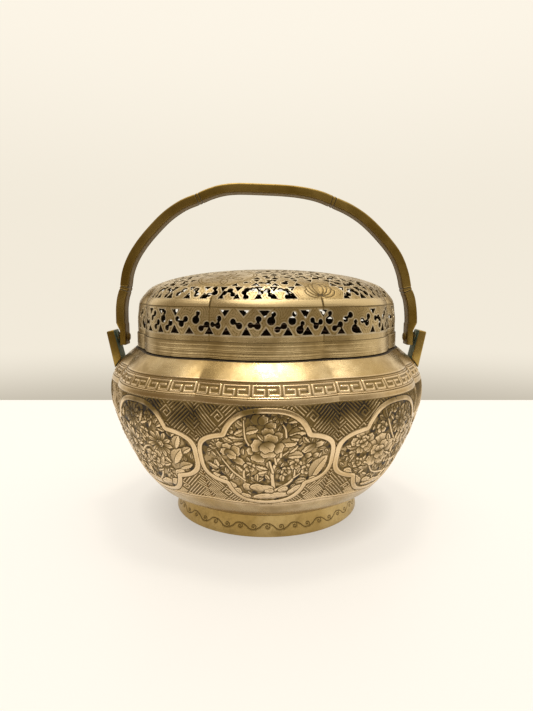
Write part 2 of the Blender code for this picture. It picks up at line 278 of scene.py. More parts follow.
def set_attribute(obj, name, values, domain="POINT"):
    layer = obj.data.attributes.new(name, "FLOAT", domain)
    layer.data.foreach_set("value", np.asarray(values, np.float32).ravel())


def turned(
    name, profile, depth=no_depth, steps=384, closed=False,
    relief=None, dirt_and_shade=None, softness=0.0, sharp_degrees=15.0,
):  # fmt: skip
    """A solid turned round Z from a profile of radius and height that runs down its outer side.

    An open profile starts and ends on the axis. relief moves each point out, and dirt_and_shade is how dark
    it is painted, by dirt and by painted shade.
    Both are arrays of rows along the profile and columns around the axis, or of one column. softness rounds
    off the creases.
    """
    profile = np.asarray(profile, float)
    rows = len(profile)
    angle = 2.0 * math.pi * np.arange(steps) / steps
    radius = profile[:, :1] - depth(profile[:, :1], profile[:, 1:]) * dip(angle[None, :], softness)
    radius = np.where(profile[:, :1] < 0.5, profile[:, :1], radius)
    height = np.repeat(profile[:, 1:], steps, axis=1)
    if relief is not None:
        out = normals_of(profile)
        radius = radius + relief * out[:, :1]
        height = height + relief * out[:, 1:]
    points = polar(radius, angle, height).reshape(-1, 3)
    ids = np.arange(rows * steps).reshape(rows, steps)
    triangles = []
    if closed:
        ids = np.vstack([ids, ids[:1]])
    else:
        # The first and last rows become one point each on the axis.
        points = np.vstack([points, [0.0, 0.0, profile[0, 1]], [0.0, 0.0, profile[-1, 1]]])
        top, bottom = rows * steps, rows * steps + 1
        ids = ids[1:-1]
        first, last = ids[0], ids[-1]
        triangles.append(np.stack([np.full(steps, top), first, np.roll(first, -1)], axis=1))
        triangles.append(np.stack([np.full(steps, bottom), np.roll(last, -1), last], axis=1))
    quads = quads_between(ids, np.roll(ids, -1, axis=1))
    darkening = np.zeros(len(points))
    if dirt_and_shade is not None:
        darkening[: rows * steps] = np.broadcast_to(dirt_and_shade, (rows, steps)).ravel()
    if not closed:
        # The unused copies of the two poles are dropped.
        kept = np.concatenate([np.arange(steps, (rows - 1) * steps), [top, bottom]])
        renumber = np.zeros(len(points), int)
        renumber[kept] = np.arange(len(kept))
        points, darkening = points[kept], darkening[kept]
        quads = renumber[quads]
        triangles = [renumber[group] for group in triangles]
    obj = new_mesh(name, points, [quads] + triangles, sharp_degrees)
    set_attribute(obj, "dirt_and_shade", darkening)
    return obj


def grooved(profile, grooves):
    """The profile in fine steps, with a groove pressed in at each (height, width, depth), and its grime."""
    lengths = lengths_along(profile)
    fine = np.arange(0.0, lengths[-1], 0.12)
    line = resampled(profile, lengths, fine)
    out = normals_of(line)
    cut = np.zeros(len(line))
    for height, width, depth in grooves:
        cut = np.maximum(cut, depth * hump(line[:, 1] - height, 0.5 * width))
    keep = np.concatenate([[True], (cut[1:-1] > 0.004) | (np.arange(1, len(line) - 1) % 8 == 0), [True]])
    return (line - out * cut[:, None])[keep], np.clip(cut / 0.3, 0.0, 1.0)[keep]


# ---------------------------------------------------------------- relief drawing


def box_blur(field, cells):
    """Two passes of a square mean, in both directions."""
    for _ in range(2):
        for axis in (0, 1):
            pad = [(cells, cells) if k == axis else (0, 0) for k in (0, 1)]
            total = np.cumsum(np.pad(field, pad, mode="edge"), axis=axis)
            zero = np.zeros_like(np.take(total, [0], axis=axis))
            total = np.concatenate([zero, total], axis=axis)
            size = 2 * cells + 1
            count = field.shape[axis]
            high = np.take(total, np.arange(size, size + count), axis=axis)
            low = np.take(total, np.arange(count), axis=axis)
            field = (high - low) / size
    return field


def cover(distance, soft=0.14):
    """1 inside an outline, 0 outside it, from a signed distance that is negative inside."""
    return np.clip(0.5 - 0.5 * distance / soft, 0.0, 1.0)


class Relief:
    """A height field in millimetres over a chart, its dirt and painted shade, and the tools that draw on it.
    """

    def __init__(self, x, y, h=None, ink=None):
        self.x, self.y = np.broadcast_arrays(x, y)
        self.h = np.full(self.x.shape, GROUND) if h is None else h
        self.ink = np.zeros(self.x.shape) if ink is None else ink

    def around(self, cx, cy, reach_x, reach_y=None):
        """The part of the chart near a point, still drawing on the whole."""
        reach_y = reach_y or reach_x
        columns = slice(*np.searchsorted(self.x[0], (cx - reach_x, cx + reach_x)))
        rows = slice(*np.searchsorted(self.y[:, 0], (cy - reach_y, cy + reach_y)))
        return Relief(*(field[rows, columns] for field in (self.x, self.y, self.h, self.ink)))

    def stamp(self, distance, height, moat, moat_depth, shade=0.0):
        """Lays a figure on what is there, with a chased line round it. shade is painted shade on the figure
        itself.
        """
        line = cover(distance - moat) * (1.0 - cover(distance))
        inside = cover(distance)
        sunk = np.minimum(self.h, np.maximum(height - moat_depth, GROUND - 0.1))
        self.h[...] = (self.h * (1.0 - line) + sunk * line) * (1.0 - inside) + height * inside
        self.ink[...] = np.maximum(self.ink, line) * (1.0 - inside) + shade * inside

    def cut(self, inside, depth):
        """Presses a region, given as 0 to 1, down by a depth."""
        self.h[...] = self.h - depth * inside
        self.ink[...] = np.maximum(self.ink, np.minimum(inside * depth / 0.2, 1.0))

    def groove(self, distance, width, depth):
        """A line along the zero of a distance."""
        self.cut(cover(np.abs(distance) - 0.5 * width, 0.12), depth)


def ellipse_distance(u, v, a, b):
    """About the distance to an ellipse, negative inside."""
    k0 = np.sqrt((u / a) ** 2 + (v / b) ** 2)
    k1 = np.sqrt((u / a**2) ** 2 + (v / b**2) ** 2)
    return np.where(k0 < 1e-6, -min(a, b), k0 * (k0 - 1.0) / np.maximum(k1, 1e-6))


def leaf_distance(u, v, length, width):
    """A pointed leaf from u = 0 to u = length."""
    half = 0.5 * length
    w = 0.5 * width
    radius = (half * half + w * w) / (2.0 * w)
    return np.hypot(u - half, np.abs(v) + radius - w) - radius


def line_distance(x, y, points, widths=0.0):
    """Distance to a broken line, less its half width, which may change along it."""
    points = np.asarray(points, float)
    widths = np.broadcast_to(widths, len(points))
    best = np.full(np.shape(x), 1e6)
    for (ax, ay), (bx, by), wa, wb in zip(points[:-1], points[1:], widths[:-1], widths[1:]):
        ex, ey = bx - ax, by - ay
        t = np.clip(((x - ax) * ex + (y - ay) * ey) / max(ex * ex + ey * ey, 1e-9), 0.0, 1.0)
        best = np.minimum(best, np.hypot(x - ax - t * ex, y - ay - t * ey) - wa - t * (wb - wa))
    return best


def rounded(distance, top, roll=0.22, reach=0.55):
    """A surface at a height that rolls down near the outline."""
    return top - roll * np.exp(np.minimum(distance, 0.0) / reach)


def petal(relief, cx, cy, turn, length, width, top=-0.06, notch=0.0, slope=0.3, line=0.0):
    """A petal round a point, with a wavy lip in the direction of turn, sloping down to a foot; painted shade
    darkens the foot and the cup.
    """
    relief = relief.around(cx, cy, 0.5 * max(length, width) + 1.0)
    u, v = local(relief.x, relief.y, cx, cy, turn)
    half = 0.5 * length
    around = np.arctan2(v / width, u / length)
    waves = 0.05 * min(length, width) * np.cos(6.0 * around + cx) * smooth_step(u, -0.2 * half, 0.5 * half)
    tip = notch * hump(v, 0.2 * width) * smooth_step(u, 0.0, half)
    distance = ellipse_distance(u, v, half, 0.5 * width) + tip + waves
    t = np.clip(u / length + 0.5, 0.0, 1.0)
    cup = 0.16 * hump(v, 0.32 * width) * np.sin(math.pi * t)
    # Painted shade: darker towards the foot and in the cup.
    shade = 0.42 * (1.0 - t) ** 1.3 + 0.7 * cup
    relief.stamp(distance, rounded(distance, top - slope * (1.0 - t) - cup), 0.3, 0.3, shade)
    if min(length, width) > 3.0:
        relief.groove(np.where(u > -0.1 * half, distance + 0.75, 9.0), 0.16, 0.1)
    if line:
        crease = np.maximum(np.abs(v - 0.12 * width * np.sin(u * 2.2 / half)), np.abs(u) - line * half)
        relief.groove(crease, 0.22, 0.14)


def lump(relief, cx, cy, turn, length, width):
    """A rock or bank of earth, lower and painted darker on one side as shade, with cracks and a line inside
    its edge.
    """
    relief = relief.around(cx, cy, 0.5 * length + 2.0)
    u, v = local(relief.x, relief.y, cx, cy, turn)
    wobble = 0.06 * width * np.sin(3.0 * np.arctan2(v, u) + cx)
    distance = ellipse_distance(u, v, 0.5 * length, 0.5 * width) + wobble
    # One side sits lower and carries painted shade.
    side = smooth_step(-v, -0.1 * width, 0.4 * width)
    relief.stamp(distance, rounded(distance, -0.05 - 0.14 * side, 0.24, 0.8), 0.32, 0.3, 0.3 * side)
    relief.groove(np.where(v > 0.05 * width, distance + 0.8, 9.0), 0.2, 0.12)
    cracks = np.abs((u + 0.5 * v + 0.3 * np.sin(2.0 * v) + cx) % 2.9 - 1.45)
    relief.groove(np.where((distance < -0.9) & (v < 0.15 * width), cracks, 9.0), 0.18, 0.12)


def leaf(relief, cx, cy, turn, length, width, top=-0.08):
    """A pointed leaf from its foot, with a midrib, whose one half is lower and painted darker as shade, as is
    its foot.
    """
    relief = relief.around(cx, cy, length + 2.0)
    length, width = 1.08 * length, 1.02 * width
    u, v = local(relief.x, relief.y, cx, cy, turn)
    v = v - 0.09 * length * np.sin(math.pi * np.clip(u / length, 0.0, 1.0))
    beside = smooth_step(np.abs(v), 0.15 * width, 0.4 * width)
    teeth = 0.13 * np.cos(2.0 * math.pi * u / 1.3) * beside * (width > 2.2)
    distance = leaf_distance(u, v, length, width) + teeth
    # Painted shade on the lower half, and more towards the foot.
    lower = smooth_step(v, -0.15, 0.15) * 0.14
    foot = np.clip(1.0 - u / length, 0.0, 1.0)
    relief.stamp(distance, rounded(distance, top - lower), 0.3, 0.3, 1.15 * lower + 0.16 * foot)
    rib = cover(np.abs(v) - 0.12, 0.12) * cover(distance + 0.25) * smooth_step(0.9 * length - u, 0.0, 0.4)
    relief.cut(rib, 0.19)
    if width > 2.0:
        side = np.abs(((u - 0.9 * np.abs(v)) % 1.3) - 0.65) - 0.08
        relief.cut(cover(side, 0.12) * cover(distance + 0.45) * (1.0 - rib), 0.08)


def stem(relief, points, start_width, end_width):
    """A stem along a smooth line, from one width to another."""
    line = smooth_line(points, 5)
    centre, reach = 0.5 * (line.min(axis=0) + line.max(axis=0)), 0.5 * np.ptp(line, axis=0) + 1.5
    relief = relief.around(*centre, *reach)
    widths = np.linspace(0.5 * start_width, 0.5 * end_width, len(line))
    distance = line_distance(relief.x, relief.y, line, widths)
    relief.stamp(distance, rounded(distance, -0.16, 0.2, 0.3), 0.25, 0.2)


def peony(relief, cx, cy, size, turn):
    """Loose round petals about a furled heart."""
    reaches = (0.82, 0.78, 0.86, 0.8, 0.84)
    outer = [(reach, 72.0 * k + 20.0 * (k % 2), 0.8, 0.84) for k, reach in enumerate(reaches)]
    inner = [(0.42, 40.0, 0.62, 0.74), (0.4, 160.0, 0.66, 0.7)]
    inner += [(0.34, 280.0, 0.6, 0.8), (0.1, 80.0, 0.46, 0.72)]
    for top, petals in ((-0.14, outer), (-0.06, inner)):
        for reach, degrees, length, width in petals:
            angle = turn + math.radians(degrees)
            place = moved(cx, cy, size * reach, angle)
            petal(relief, *place, angle, size * length, size * width, top, 0.06 * size, line=0.5)


def spray(relief, cx, cy, size, turn):
    """Three leaves from one point."""
    for spread, length in ((0.85, 0.9), (-0.85, 0.9), (0.0, 1.1)):
        leaf(relief, cx, cy, turn + spread, size * length, 0.5 * size)


def blossom(relief, cx, cy, size, turn):
    """Five small round petals."""
    for i in range(5):
        angle = turn + 2.0 * math.pi * i / 5.0
        petal(relief, *moved(cx, cy, 0.5 * size, angle), angle, 0.8 * size, 0.76 * size, -0.1, 0.05 * size)
    petal(relief, cx, cy, turn, 0.34 * size, 0.34 * size, -0.04)


def daisy(relief, cx, cy, size, turn):
    """Narrow petals about a button."""
    petals = 11
    for i in range(petals):
        angle = turn + 2.0 * math.pi * i / petals
        place = moved(cx, cy, size * (0.62 + 0.06 * (i % 2)), angle)
        petal(relief, *place, angle, 0.72 * size, 0.3 * size, -0.1, line=0.6)
    petal(relief, cx, cy, turn, 0.58 * size, 0.52 * size, -0.05)
    petal(relief, cx, cy, turn, 0.32 * size, 0.28 * size, -0.02)


def superellipse(x, y, cx, cy, half_x, half_y, power):
    """A rounded box, as a value that is negative inside."""
    return np.abs((x - cx) / half_x) ** power + np.abs((y - cy) / half_y) ** power - 1.0


def cartouche_distance(x, y):
    """Distance to the four-lobed frame, negative inside: a lying rounded box joined to a standing one."""
    boxes = ((0.0, 25.4, 31.0, 14.0, 3.2), (0.0, 24.65, 20.2, 24.65, 2.6))
    sign = np.where(np.minimum(*(superellipse(x, y, *box) for box in boxes)) < 0.0, -1.0, 1.0)
    turn = np.linspace(0.0, 2.0 * math.pi, 721)
    best = np.full(x.shape, 1e6)
    for (cx, cy, half_x, half_y, power), other in zip(boxes, boxes[::-1]):
        across, up = (np.sign(wave) * np.abs(wave) ** (2.0 / power) for wave in (np.cos(turn), np.sin(turn)))
        outline = np.stack([cx + half_x * across, cy + half_y * up], axis=1)
        for px, py in outline[superellipse(*outline.T, *other) > -0.001]:
            best = np.minimum(best, (x - px) ** 2 + (y - py) ** 2)
    return sign * np.sqrt(best)


def square_spiral(u, v, size):
    """Distance to a key-fret hook in a square cell centred on zero."""
    k = size / 6.0
    corners = [(-2.2, 2.3), (2.3, 2.3), (2.3, -2.2), (-1.2, -2.2), (-1.2, 0.6), (0.8, 0.6), (0.8, -0.8)]
    return line_distance(u, v, [(k * a, k * b) for a, b in corners])


def spandrel_height(x, y, shift):
    """Raised lines of a slanting key fret: bundles of four bars, two cells long, woven round square hooks."""
    cell, bars = 5.4, 4
    u = (x + y + shift) / math.sqrt(2.0)
    v = (y - x) / math.sqrt(2.0)
    i, j = np.floor(u / cell), np.floor(v / cell)
    lu, lv = u - (i + 0.5) * cell, v - (j + 0.5) * cell
    kind = (i - j) % 5
    hooks = square_spiral(lu, lv, 0.93 * cell)
    pitch = cell / bars
    end = 0.5 * cell - 0.4
    bars_u = np.maximum(np.abs((lv + 0.5 * cell) % pitch - 0.5 * pitch), np.where(kind == 1, -lu, lu) - end)
    bars_v = np.maximum(np.abs((lu + 0.5 * cell) % pitch - 0.5 * pitch), np.where(kind == 4, -lv, lv) - end)
    distance = np.where(kind == 0, hooks, np.where(kind < 3, bars_u, bars_v)) - 0.26
    return GROUND + 0.16 + 0.5 * cover(distance, 0.16)


def fret_height(x, y):
    """The border: mirrored pairs of square hooks between two lines, as a height from 0 to -0.4."""
    pair = 2.0 * CHART_HALF / 5.0
    half = 0.5 * pair
    u = (x + CHART_HALF) % pair
    u = np.where(u > half, pair - u, u)
    v = y - FRET_BOTTOM
    tall = FRET_TOP - FRET_BOTTOM
    top, low, mid = tall - 1.1, 1.1, 0.5 * tall
    hook = [(half + 0.5, top), (0.75, top), (0.75, low), (half - 0.85, low)]
    hook += [(half - 0.85, mid + 0.25), (2.5, mid + 0.25)]
    distance = line_distance(u, v, hook) - 0.36
    edge = np.minimum(np.abs(v - 0.1), np.abs(v - tall + 0.1)) - 0.15
    raised = np.maximum(cover(distance, 0.16), cover(edge, 0.14))
    inside = cover(np.maximum(-v - 0.3, v - tall - 0.3), 0.14)
    return inside * (-0.4 + 0.4 * raised)


# Each garden, from back to front, as runs of one kind of figure: what is drawn, then where and how.
# A stem has its points and two widths
GARDENS = [
    [
        (leaf, (0.8, 21.6, 2.8, 5.6, 2.8), (0.6, 20.8, 3.5, 4.8, 2.8), (1.4, 21.8, 1.6, 4.2, 2.4),
         (8.6, 28.0, 0.0, 6.4, 4.0), (9.0, 29.8, 0.7, 4.6, 2.8), (8.6, 26.0, -0.5, 4.4, 2.4),
         (5.4, 34.2, 0.0, 6.4, 4.6), (8.3, 38.0, 0.12, 8.2, 4.2), (9.4, 36.6, -0.2, 5.0, 2.8),
         (-8.4, 36.4, 3.1, 7.6, 3.0), (-9.0, 34.4, 3.4, 5.0, 3.0), (-8.6, 41.0, 2.5, 4.4, 3.0),
         (-8.6, 40.4, 3.7, 4.6, 3.0), (-8.9, 43.0, 1.5, 4.2, 2.4), (-8.7, 38.8, 0.3, 5.4, 3.4)),
        (spray, (-21.0, 20.6, 5.2, 2.7), (-20.2, 32.0, 4.6, 2.4)),
        (leaf, (-22.0, 33.4, 1.9, 4.6, 2.4)),
        (spray, (-4.2, 15.0, 3.8, 1.5)),
        (leaf, (7.1, 15.0, 1.6, 3.8, 2.4), (12.6, 14.2, 0.1, 5.6, 2.8), (-6.0, 20.8, 2.4, 4.6, 2.4),
         (-9.8, 19.8, 2.3, 4.4, 2.4), (-14.4, 19.4, 4.2, 4.2, 2.2), (-14.0, 24.6, 1.2, 4.6, 2.4),
         (-13.4, 34.2, 2.6, 5.2, 2.6), (0.6, 46.4, 0.9, 3.2, 2.0), (8.2, 43.2, 0.2, 5.4, 3.0),
         (12.2, 41.6, -0.4, 4.8, 2.6), (13.0, 33.2, 0.8, 4.6, 2.4)),
        (stem, ([(3.5, 9.0), (2.4, 19.4), (4.0, 25.0), (5.7, 27.8), (8.8, 30.4)], 1.7, 0.8),
         ([(2.8, 20.0), (1.2, 25.8)], 0.9, 0.7), ([(4.0, 24.5), (3.0, 29.0)], 0.9, 0.7),
         ([(5.8, 28.0), (6.1, 31.0)], 0.9, 0.7), ([(-9.8, 14.5), (-9.8, 20.0), (-7.6, 22.3)], 1.2, 0.7),
         ([(-9.6, 15.5), (-14.6, 19.9), (-17.4, 23.6), (-19.3, 26.4), (-21.4, 30.0)], 1.0, 0.5),
         ([(4.0, 9.9), (9.9, 13.8), (12.1, 17.1), (12.3, 21.5)], 1.3, 0.8),
         ([(12.2, 16.8), (17.3, 20.9)], 0.9, 0.7),
         ([(-7.0, 33.5), (-8.4, 36.6), (-8.7, 41.2), (-8.9, 44.1)], 0.8, 0.5),
         ([(7.8, 37.0), (7.3, 40.7), (5.2, 43.3), (1.8, 44.2), (-0.6, 42.6)], 0.8, 0.6)),
        (blossom, (-7.2, 22.8, 3.0, 0.4), (12.4, 23.8, 3.3, 0.2), (8.3, 20.6, 2.7, 0.9),
         (17.6, 20.6, 3.2, 0.0), (-15.2, 39.6, 2.5, 0.8)),
        (daisy, (5.6, 46.2, 3.6, 0.2)),
        (petal, (-3.8, 44.6, 2.2, 4.6, 4.6, -0.08, 0.4), (-1.2, 44.2, 0.9, 4.4, 3.8, -0.08, 0.4),
         (1.6, 41.8, 0.3, 4.6, 3.2, -0.08), (-19.3, 32.6, 2.2, 3.4, 3.6), (-16.3, 32.0, 1.4, 3.6, 4.0),
         (-12.6, 30.4, 0.2, 4.0, 5.4), (-11.6, 25.6, -0.5, 5.4, 3.4, -0.08, 0.3),
         (-17.6, 29.6, 3.0, 3.6, 3.6), (-14.9, 28.6, 5.6, 5.4, 4.0, -0.05, 0.0, 0.2, 0.5),
         (0.6, 39.4, 1.5, 3.8, 5.2, -0.08, 0.3), (4.7, 37.9, 0.8, 3.4, 3.4, -0.08),
         (-3.6, 27.2, 4.4, 3.9, 5.8, -0.08, 0.4), (-6.6, 30.6, 3.4, 2.6, 3.8, -0.08),
         (-3.9, 33.4, 2.9, 4.4, 6.2), (1.2, 29.8, -1.4, 4.2, 7.6), (5.0, 32.2, -0.5, 3.6, 5.4),
         (1.5, 36.4, 1.4, 4.4, 6.4, -0.05), (0.3, 32.6, -1.2, 5.0, 6.4, -0.03, 0.0, 0.2, 0.6)),
        (leaf, (17.6, 33.6, 2.3, 4.2, 2.2), (18.6, 34.0, 1.55, 4.6, 2.0), (20.4, 33.8, 1.0, 4.2, 1.6),
         (22.0, 31.0, 0.6, 4.2, 1.6), (21.6, 29.8, 0.1, 4.2, 1.6)),
        (petal, (21.8, 32.6, 0.3, 5.4, 2.6), (17.6, 31.2, 3.6, 6.4, 3.2, -0.06, 0.0, 0.2, 0.6),
         (17.6, 27.8, 0.2, 3.0, 2.6), (21.2, 27.4, 0.4, 3.2, 2.4)),
        (leaf, (20.2, 14.6, 1.05, 13.0, 6.8)),
        (lump, (20.6, 14.0, 0.8, 6.4, 3.4), (-23.0, 16.4, -0.6, 4.2, 3.2), (-19.6, 14.8, -0.6, 5.0, 3.6),
         (-16.3, 12.0, -0.7, 4.8, 3.8), (-13.6, 8.6, -0.8, 4.6, 3.6), (-10.0, 5.6, -0.4, 5.0, 3.4),
         (-8.4, 11.6, -0.3, 5.6, 4.2), (-2.4, 11.2, -0.1, 11.0, 4.6), (2.6, 5.8, 0.1, 18.0, 4.4),
         (7.8, 10.2, 0.3, 5.0, 3.4), (13.6, 9.8, 0.6, 8.6, 3.4), (1.4, 9.4, 0.0, 4.4, 3.0)),
    ],
    [
        (stem, ([(-2.0, 6.0), (-1.4, 15.0), (-5.0, 24.0), (-6.4, 32.0), (-4.0, 40.0)], 1.5, 0.8),
         ([(-3.6, 20.0), (2.0, 26.0), (8.0, 28.0)], 1.1, 0.7),
         ([(-2.0, 12.0), (-9.0, 17.0), (-16.0, 19.0)], 1.1, 0.7),
         ([(2.0, 7.0), (7.0, 12.0), (9.0, 18.0)], 1.1, 0.7),
         ([(-6.0, 29.0), (-13.0, 31.0), (-19.0, 29.0)], 0.9, 0.7)),
        (spray, (10.0, 18.0, 5.6, 1.1), (-16.0, 17.6, 5.4, 3.4), (-1.6, 17.0, 4.8, 0.5),
         (3.0, 38.0, 5.4, 1.2), (-12.0, 38.0, 5.0, 2.2), (19.4, 33.6, 5.0, 0.9), (-22.6, 24.0, 4.6, 3.0),
         (-8.6, 12.0, 4.2, 2.7), (12.6, 37.4, 4.6, 0.5)),
        (leaf, (3.0, 25.6, 4.9, 4.6, 2.4), (7.0, 22.6, 3.0, 4.8, 2.4), (-10.4, 22.6, 1.8, 4.6, 2.2),
         (-15.0, 26.0, 4.4, 4.8, 2.4), (-3.6, 45.6, 0.2, 5.2, 2.4), (-21.0, 33.0, 2.6, 4.6, 2.4),
         (16.0, 20.0, 2.2, 4.4, 2.2), (5.0, 14.0, 0.3, 4.2, 2.2), (-5.0, 34.4, 2.8, 4.8, 2.4)),
        (daisy, (-6.8, 27.0, 8.0, 0.1), (12.6, 29.4, 6.6, 0.4), (-18.6, 22.6, 5.8, 0.2),
         (-2.6, 41.4, 5.8, 0.5)),
        (peony, (6.6, 21.0, 4.6, 0.8)),
        (blossom, (-14.6, 33.6, 3.2, 0.3), (4.6, 33.8, 3.4, 0.6), (-8.0, 18.2, 2.8, 0.1),
         (13.0, 11.6, 2.8, 0.4), (-21.6, 30.2, 2.8, 0.0), (8.6, 41.8, 2.8, 0.0)),
        (leaf, (17.4, 19.6, 0.95, 10.0, 5.2), (19.6, 17.4, 0.4, 7.4, 4.0), (20.6, 28.0, 1.2, 6.8, 3.8),
         (23.4, 26.0, 0.6, 5.0, 3.0)),
        (lump, (18.6, 14.4, 0.8, 7.0, 4.2), (-14.0, 10.0, -0.7, 8.0, 4.4), (-18.6, 13.8, -0.5, 6.0, 3.4),
         (-3.4, 5.8, 0.0, 17.0, 4.6), (7.4, 7.4, 0.3, 9.0, 4.0), (13.4, 8.4, 0.7, 6.4, 3.6)),
    ],
    [
        (stem, ([(2.0, 6.0), (6.4, 14.0), (2.0, 22.0), (2.6, 32.0), (7.0, 42.0)], 1.7, 0.8),
         ([(3.4, 20.0), (-4.0, 24.0), (-13.0, 26.0), (-20.0, 31.0)], 1.2, 0.7),
         ([(5.0, 17.0), (12.0, 18.0), (19.0, 23.0)], 1.1, 0.7),
         ([(3.0, 11.0), (-6.0, 13.0), (-11.0, 18.0)], 1.0, 0.7),
         ([(2.2, 28.0), (-3.0, 34.0), (-7.0, 41.0)], 0.9, 0.7)),
        (spray, (-20.4, 29.0, 5.0, 3.0), (19.6, 22.0, 5.2, 0.6), (-12.0, 18.6, 5.0, 2.6),
         (-7.4, 40.6, 5.0, 1.9), (8.0, 41.0, 5.0, 0.9), (9.0, 24.6, 5.0, 1.0), (-5.0, 17.0, 4.4, 1.4),
         (13.6, 13.6, 4.4, 0.2), (17.0, 34.0, 4.6, 0.9)),
        (leaf, (-2.0, 29.0, 2.2, 4.8, 2.4), (11.0, 17.6, 1.2, 4.6, 2.4), (-14.6, 24.0, 4.0, 4.6, 2.4),
         (4.0, 36.4, 0.2, 5.0, 2.4), (-9.6, 12.4, 2.8, 4.6, 2.2), (16.4, 27.4, 0.4, 4.6, 2.4),
         (-23.0, 21.4, 1.2, 4.4, 2.2), (1.0, 44.0, 1.9, 4.4, 2.2), (22.6, 16.0, 1.2, 4.2, 2.0)),
        (peony, (-7.6, 25.6, 7.4, 0.2), (12.2, 29.6, 6.6, 0.9)),
        (daisy, (2.6, 37.6, 5.4, 0.2)),
        (peony, (-18.4, 31.0, 4.8, 0.5)),
        (daisy, (16.4, 19.0, 5.0, 0.0)),
        (blossom, (-9.6, 37.0, 3.4, 0.4), (1.4, 19.4, 3.2, 0.2), (-18.6, 20.6, 3.2, 0.7),
         (-3.0, 44.8, 2.8, 0.0), (8.0, 12.0, 2.8, 0.3), (21.6, 28.6, 2.8, 0.5), (10.6, 40.2, 2.6, 0.0)),
        (lump, (-21.6, 14.8, -0.9, 8.0, 4.6), (-15.4, 10.2, -0.6, 7.6, 4.4), (-1.0, 5.8, 0.0, 18.0, 4.6),
         (12.0, 8.4, 0.6, 9.0, 4.4), (18.8, 12.0, 0.8, 6.0, 3.8), (-8.0, 8.6, -0.2, 6.0, 3.4)),
    ],
]  # fmt: skip


def fill_leaves(relief, inside, seed):
    """Small leaves wherever the ground is still bare."""
    random = np.random.default_rng(seed)
    rows, columns = relief.x.shape
    x0, y0 = relief.x.min(), relief.y.min()
    step_x = (relief.x.max() - x0) / (columns - 1)
    step_y = (relief.y.max() - y0) / (rows - 1)
    # The spots that have to be bare, in lengths of the leaf
    along = np.array([0.0, 0.25, 0.5, 0.75, 1.0, 0.5, 0.5])
    side = np.array([0.0, 0.0, 0.0, 0.0, 0.0, 0.24, -0.24])
    for _ in range(LEAF_TRIES):
        cx, cy = random.uniform(-29.0, 29.0), random.uniform(2.0, 48.0)
        turn, length = random.uniform(0.0, 2.0 * math.pi), random.uniform(2.2, 3.6)
        px = cx + length * (along * math.cos(turn) - side * math.sin(turn))
        py = cy + length * (along * math.sin(turn) + side * math.cos(turn))
        column = np.clip(np.rint((px - x0) / step_x).astype(int), 0, columns - 1)
        row = np.clip(np.rint((py - y0) / step_y).astype(int), 0, rows - 1)
        if inside[row, column].max() < -0.7 and relief.h[row, column].max() < GROUND + 0.1:
            leaf(relief, cx, cy, turn, length, 0.5 * length, -0.16)


def chase_lobe(x, y, garden, flip, seed):
    """Heights and darkness (dirt and painted shade) over one lobe: border fret, ridge, framed garden, corner
    fret.
    """
    relief = Relief(x, y)
    frame_edge = cartouche_distance(relief.x, relief.y)
    inner = frame_edge + FRAME_WIDTH
    random = np.random.default_rng(seed)

    def clouds(cells):
        return box_blur(random.normal(0.0, 1.0, relief.h.shape), cells)

    # The ground is matted, and darkened in patches: partly dirt, partly painted shade of the sunk ground.
    relief.h += 0.1 * clouds(1)
    relief.ink += np.clip(0.47 + 3.2 * clouds(3), 0.28, 1.0)
    for draw, *figures in garden:
        for details in figures:
            draw(relief, *details)
    fill_leaves(relief, inner, seed + 50)
    # The fret fills the corners round the frame, and the frame is a raised band with rolled edges.
    in_fret = cover(relief.y - SPANDREL_TOP + 0.2, 0.3) * cover(0.3 - relief.y, 0.3)
    outside = 1.0 - cover(frame_edge)
    fret = in_fret * spandrel_height(relief.x, relief.y, 1.5)
    relief.h = relief.h * (1.0 - outside) + fret * outside
    relief.ink = relief.ink * (1.0 - outside) + np.clip(-fret, 0.0, 0.6) * outside
    band = np.maximum(frame_edge, -inner)
    relief.stamp(band, rounded(band, -0.02, 0.16, 0.4), 0.3, 0.3)
    # The upper part is darkened brown in clouds: partly stain, partly painted shade under the ridge.
    uneven = np.clip(1.0 + 25.0 * clouds(12), 0.3, 2.0)
    stain_and_shade = 0.17 * smooth_step(relief.y, 29.0, 50.0) + 0.1 * smooth_step(relief.y, 38.0, 49.0)
    relief.ink += stain_and_shade * uneven
    below = relief.y <= SPANDREL_TOP
    border = fret_height(relief.x, relief.y)
    relief.h = relief.h * below + border
    relief.ink = relief.ink * below + 1.05 * np.clip(-border - 0.04, 0.0, 0.4)
    for height in (-0.7, SPANDREL_TOP, FRET_BOTTOM - 0.45, FRET_TOP + 0.45):
        relief.groove(relief.y - height, 0.28, 0.14)
    return relief.h[:, ::flip], relief.ink[:, ::flip]


# ---------------------------------------------------------------- bowl


def bowl_line():
    """The bowl's outer line, kept just inside its widest CAD point."""
    line = smooth_line(BOWL_OUTLINE, 24)
    line[:, 0] = np.minimum(line[:, 0], max(r for r, _ in BOWL_OUTLINE) - 0.02)
    return line


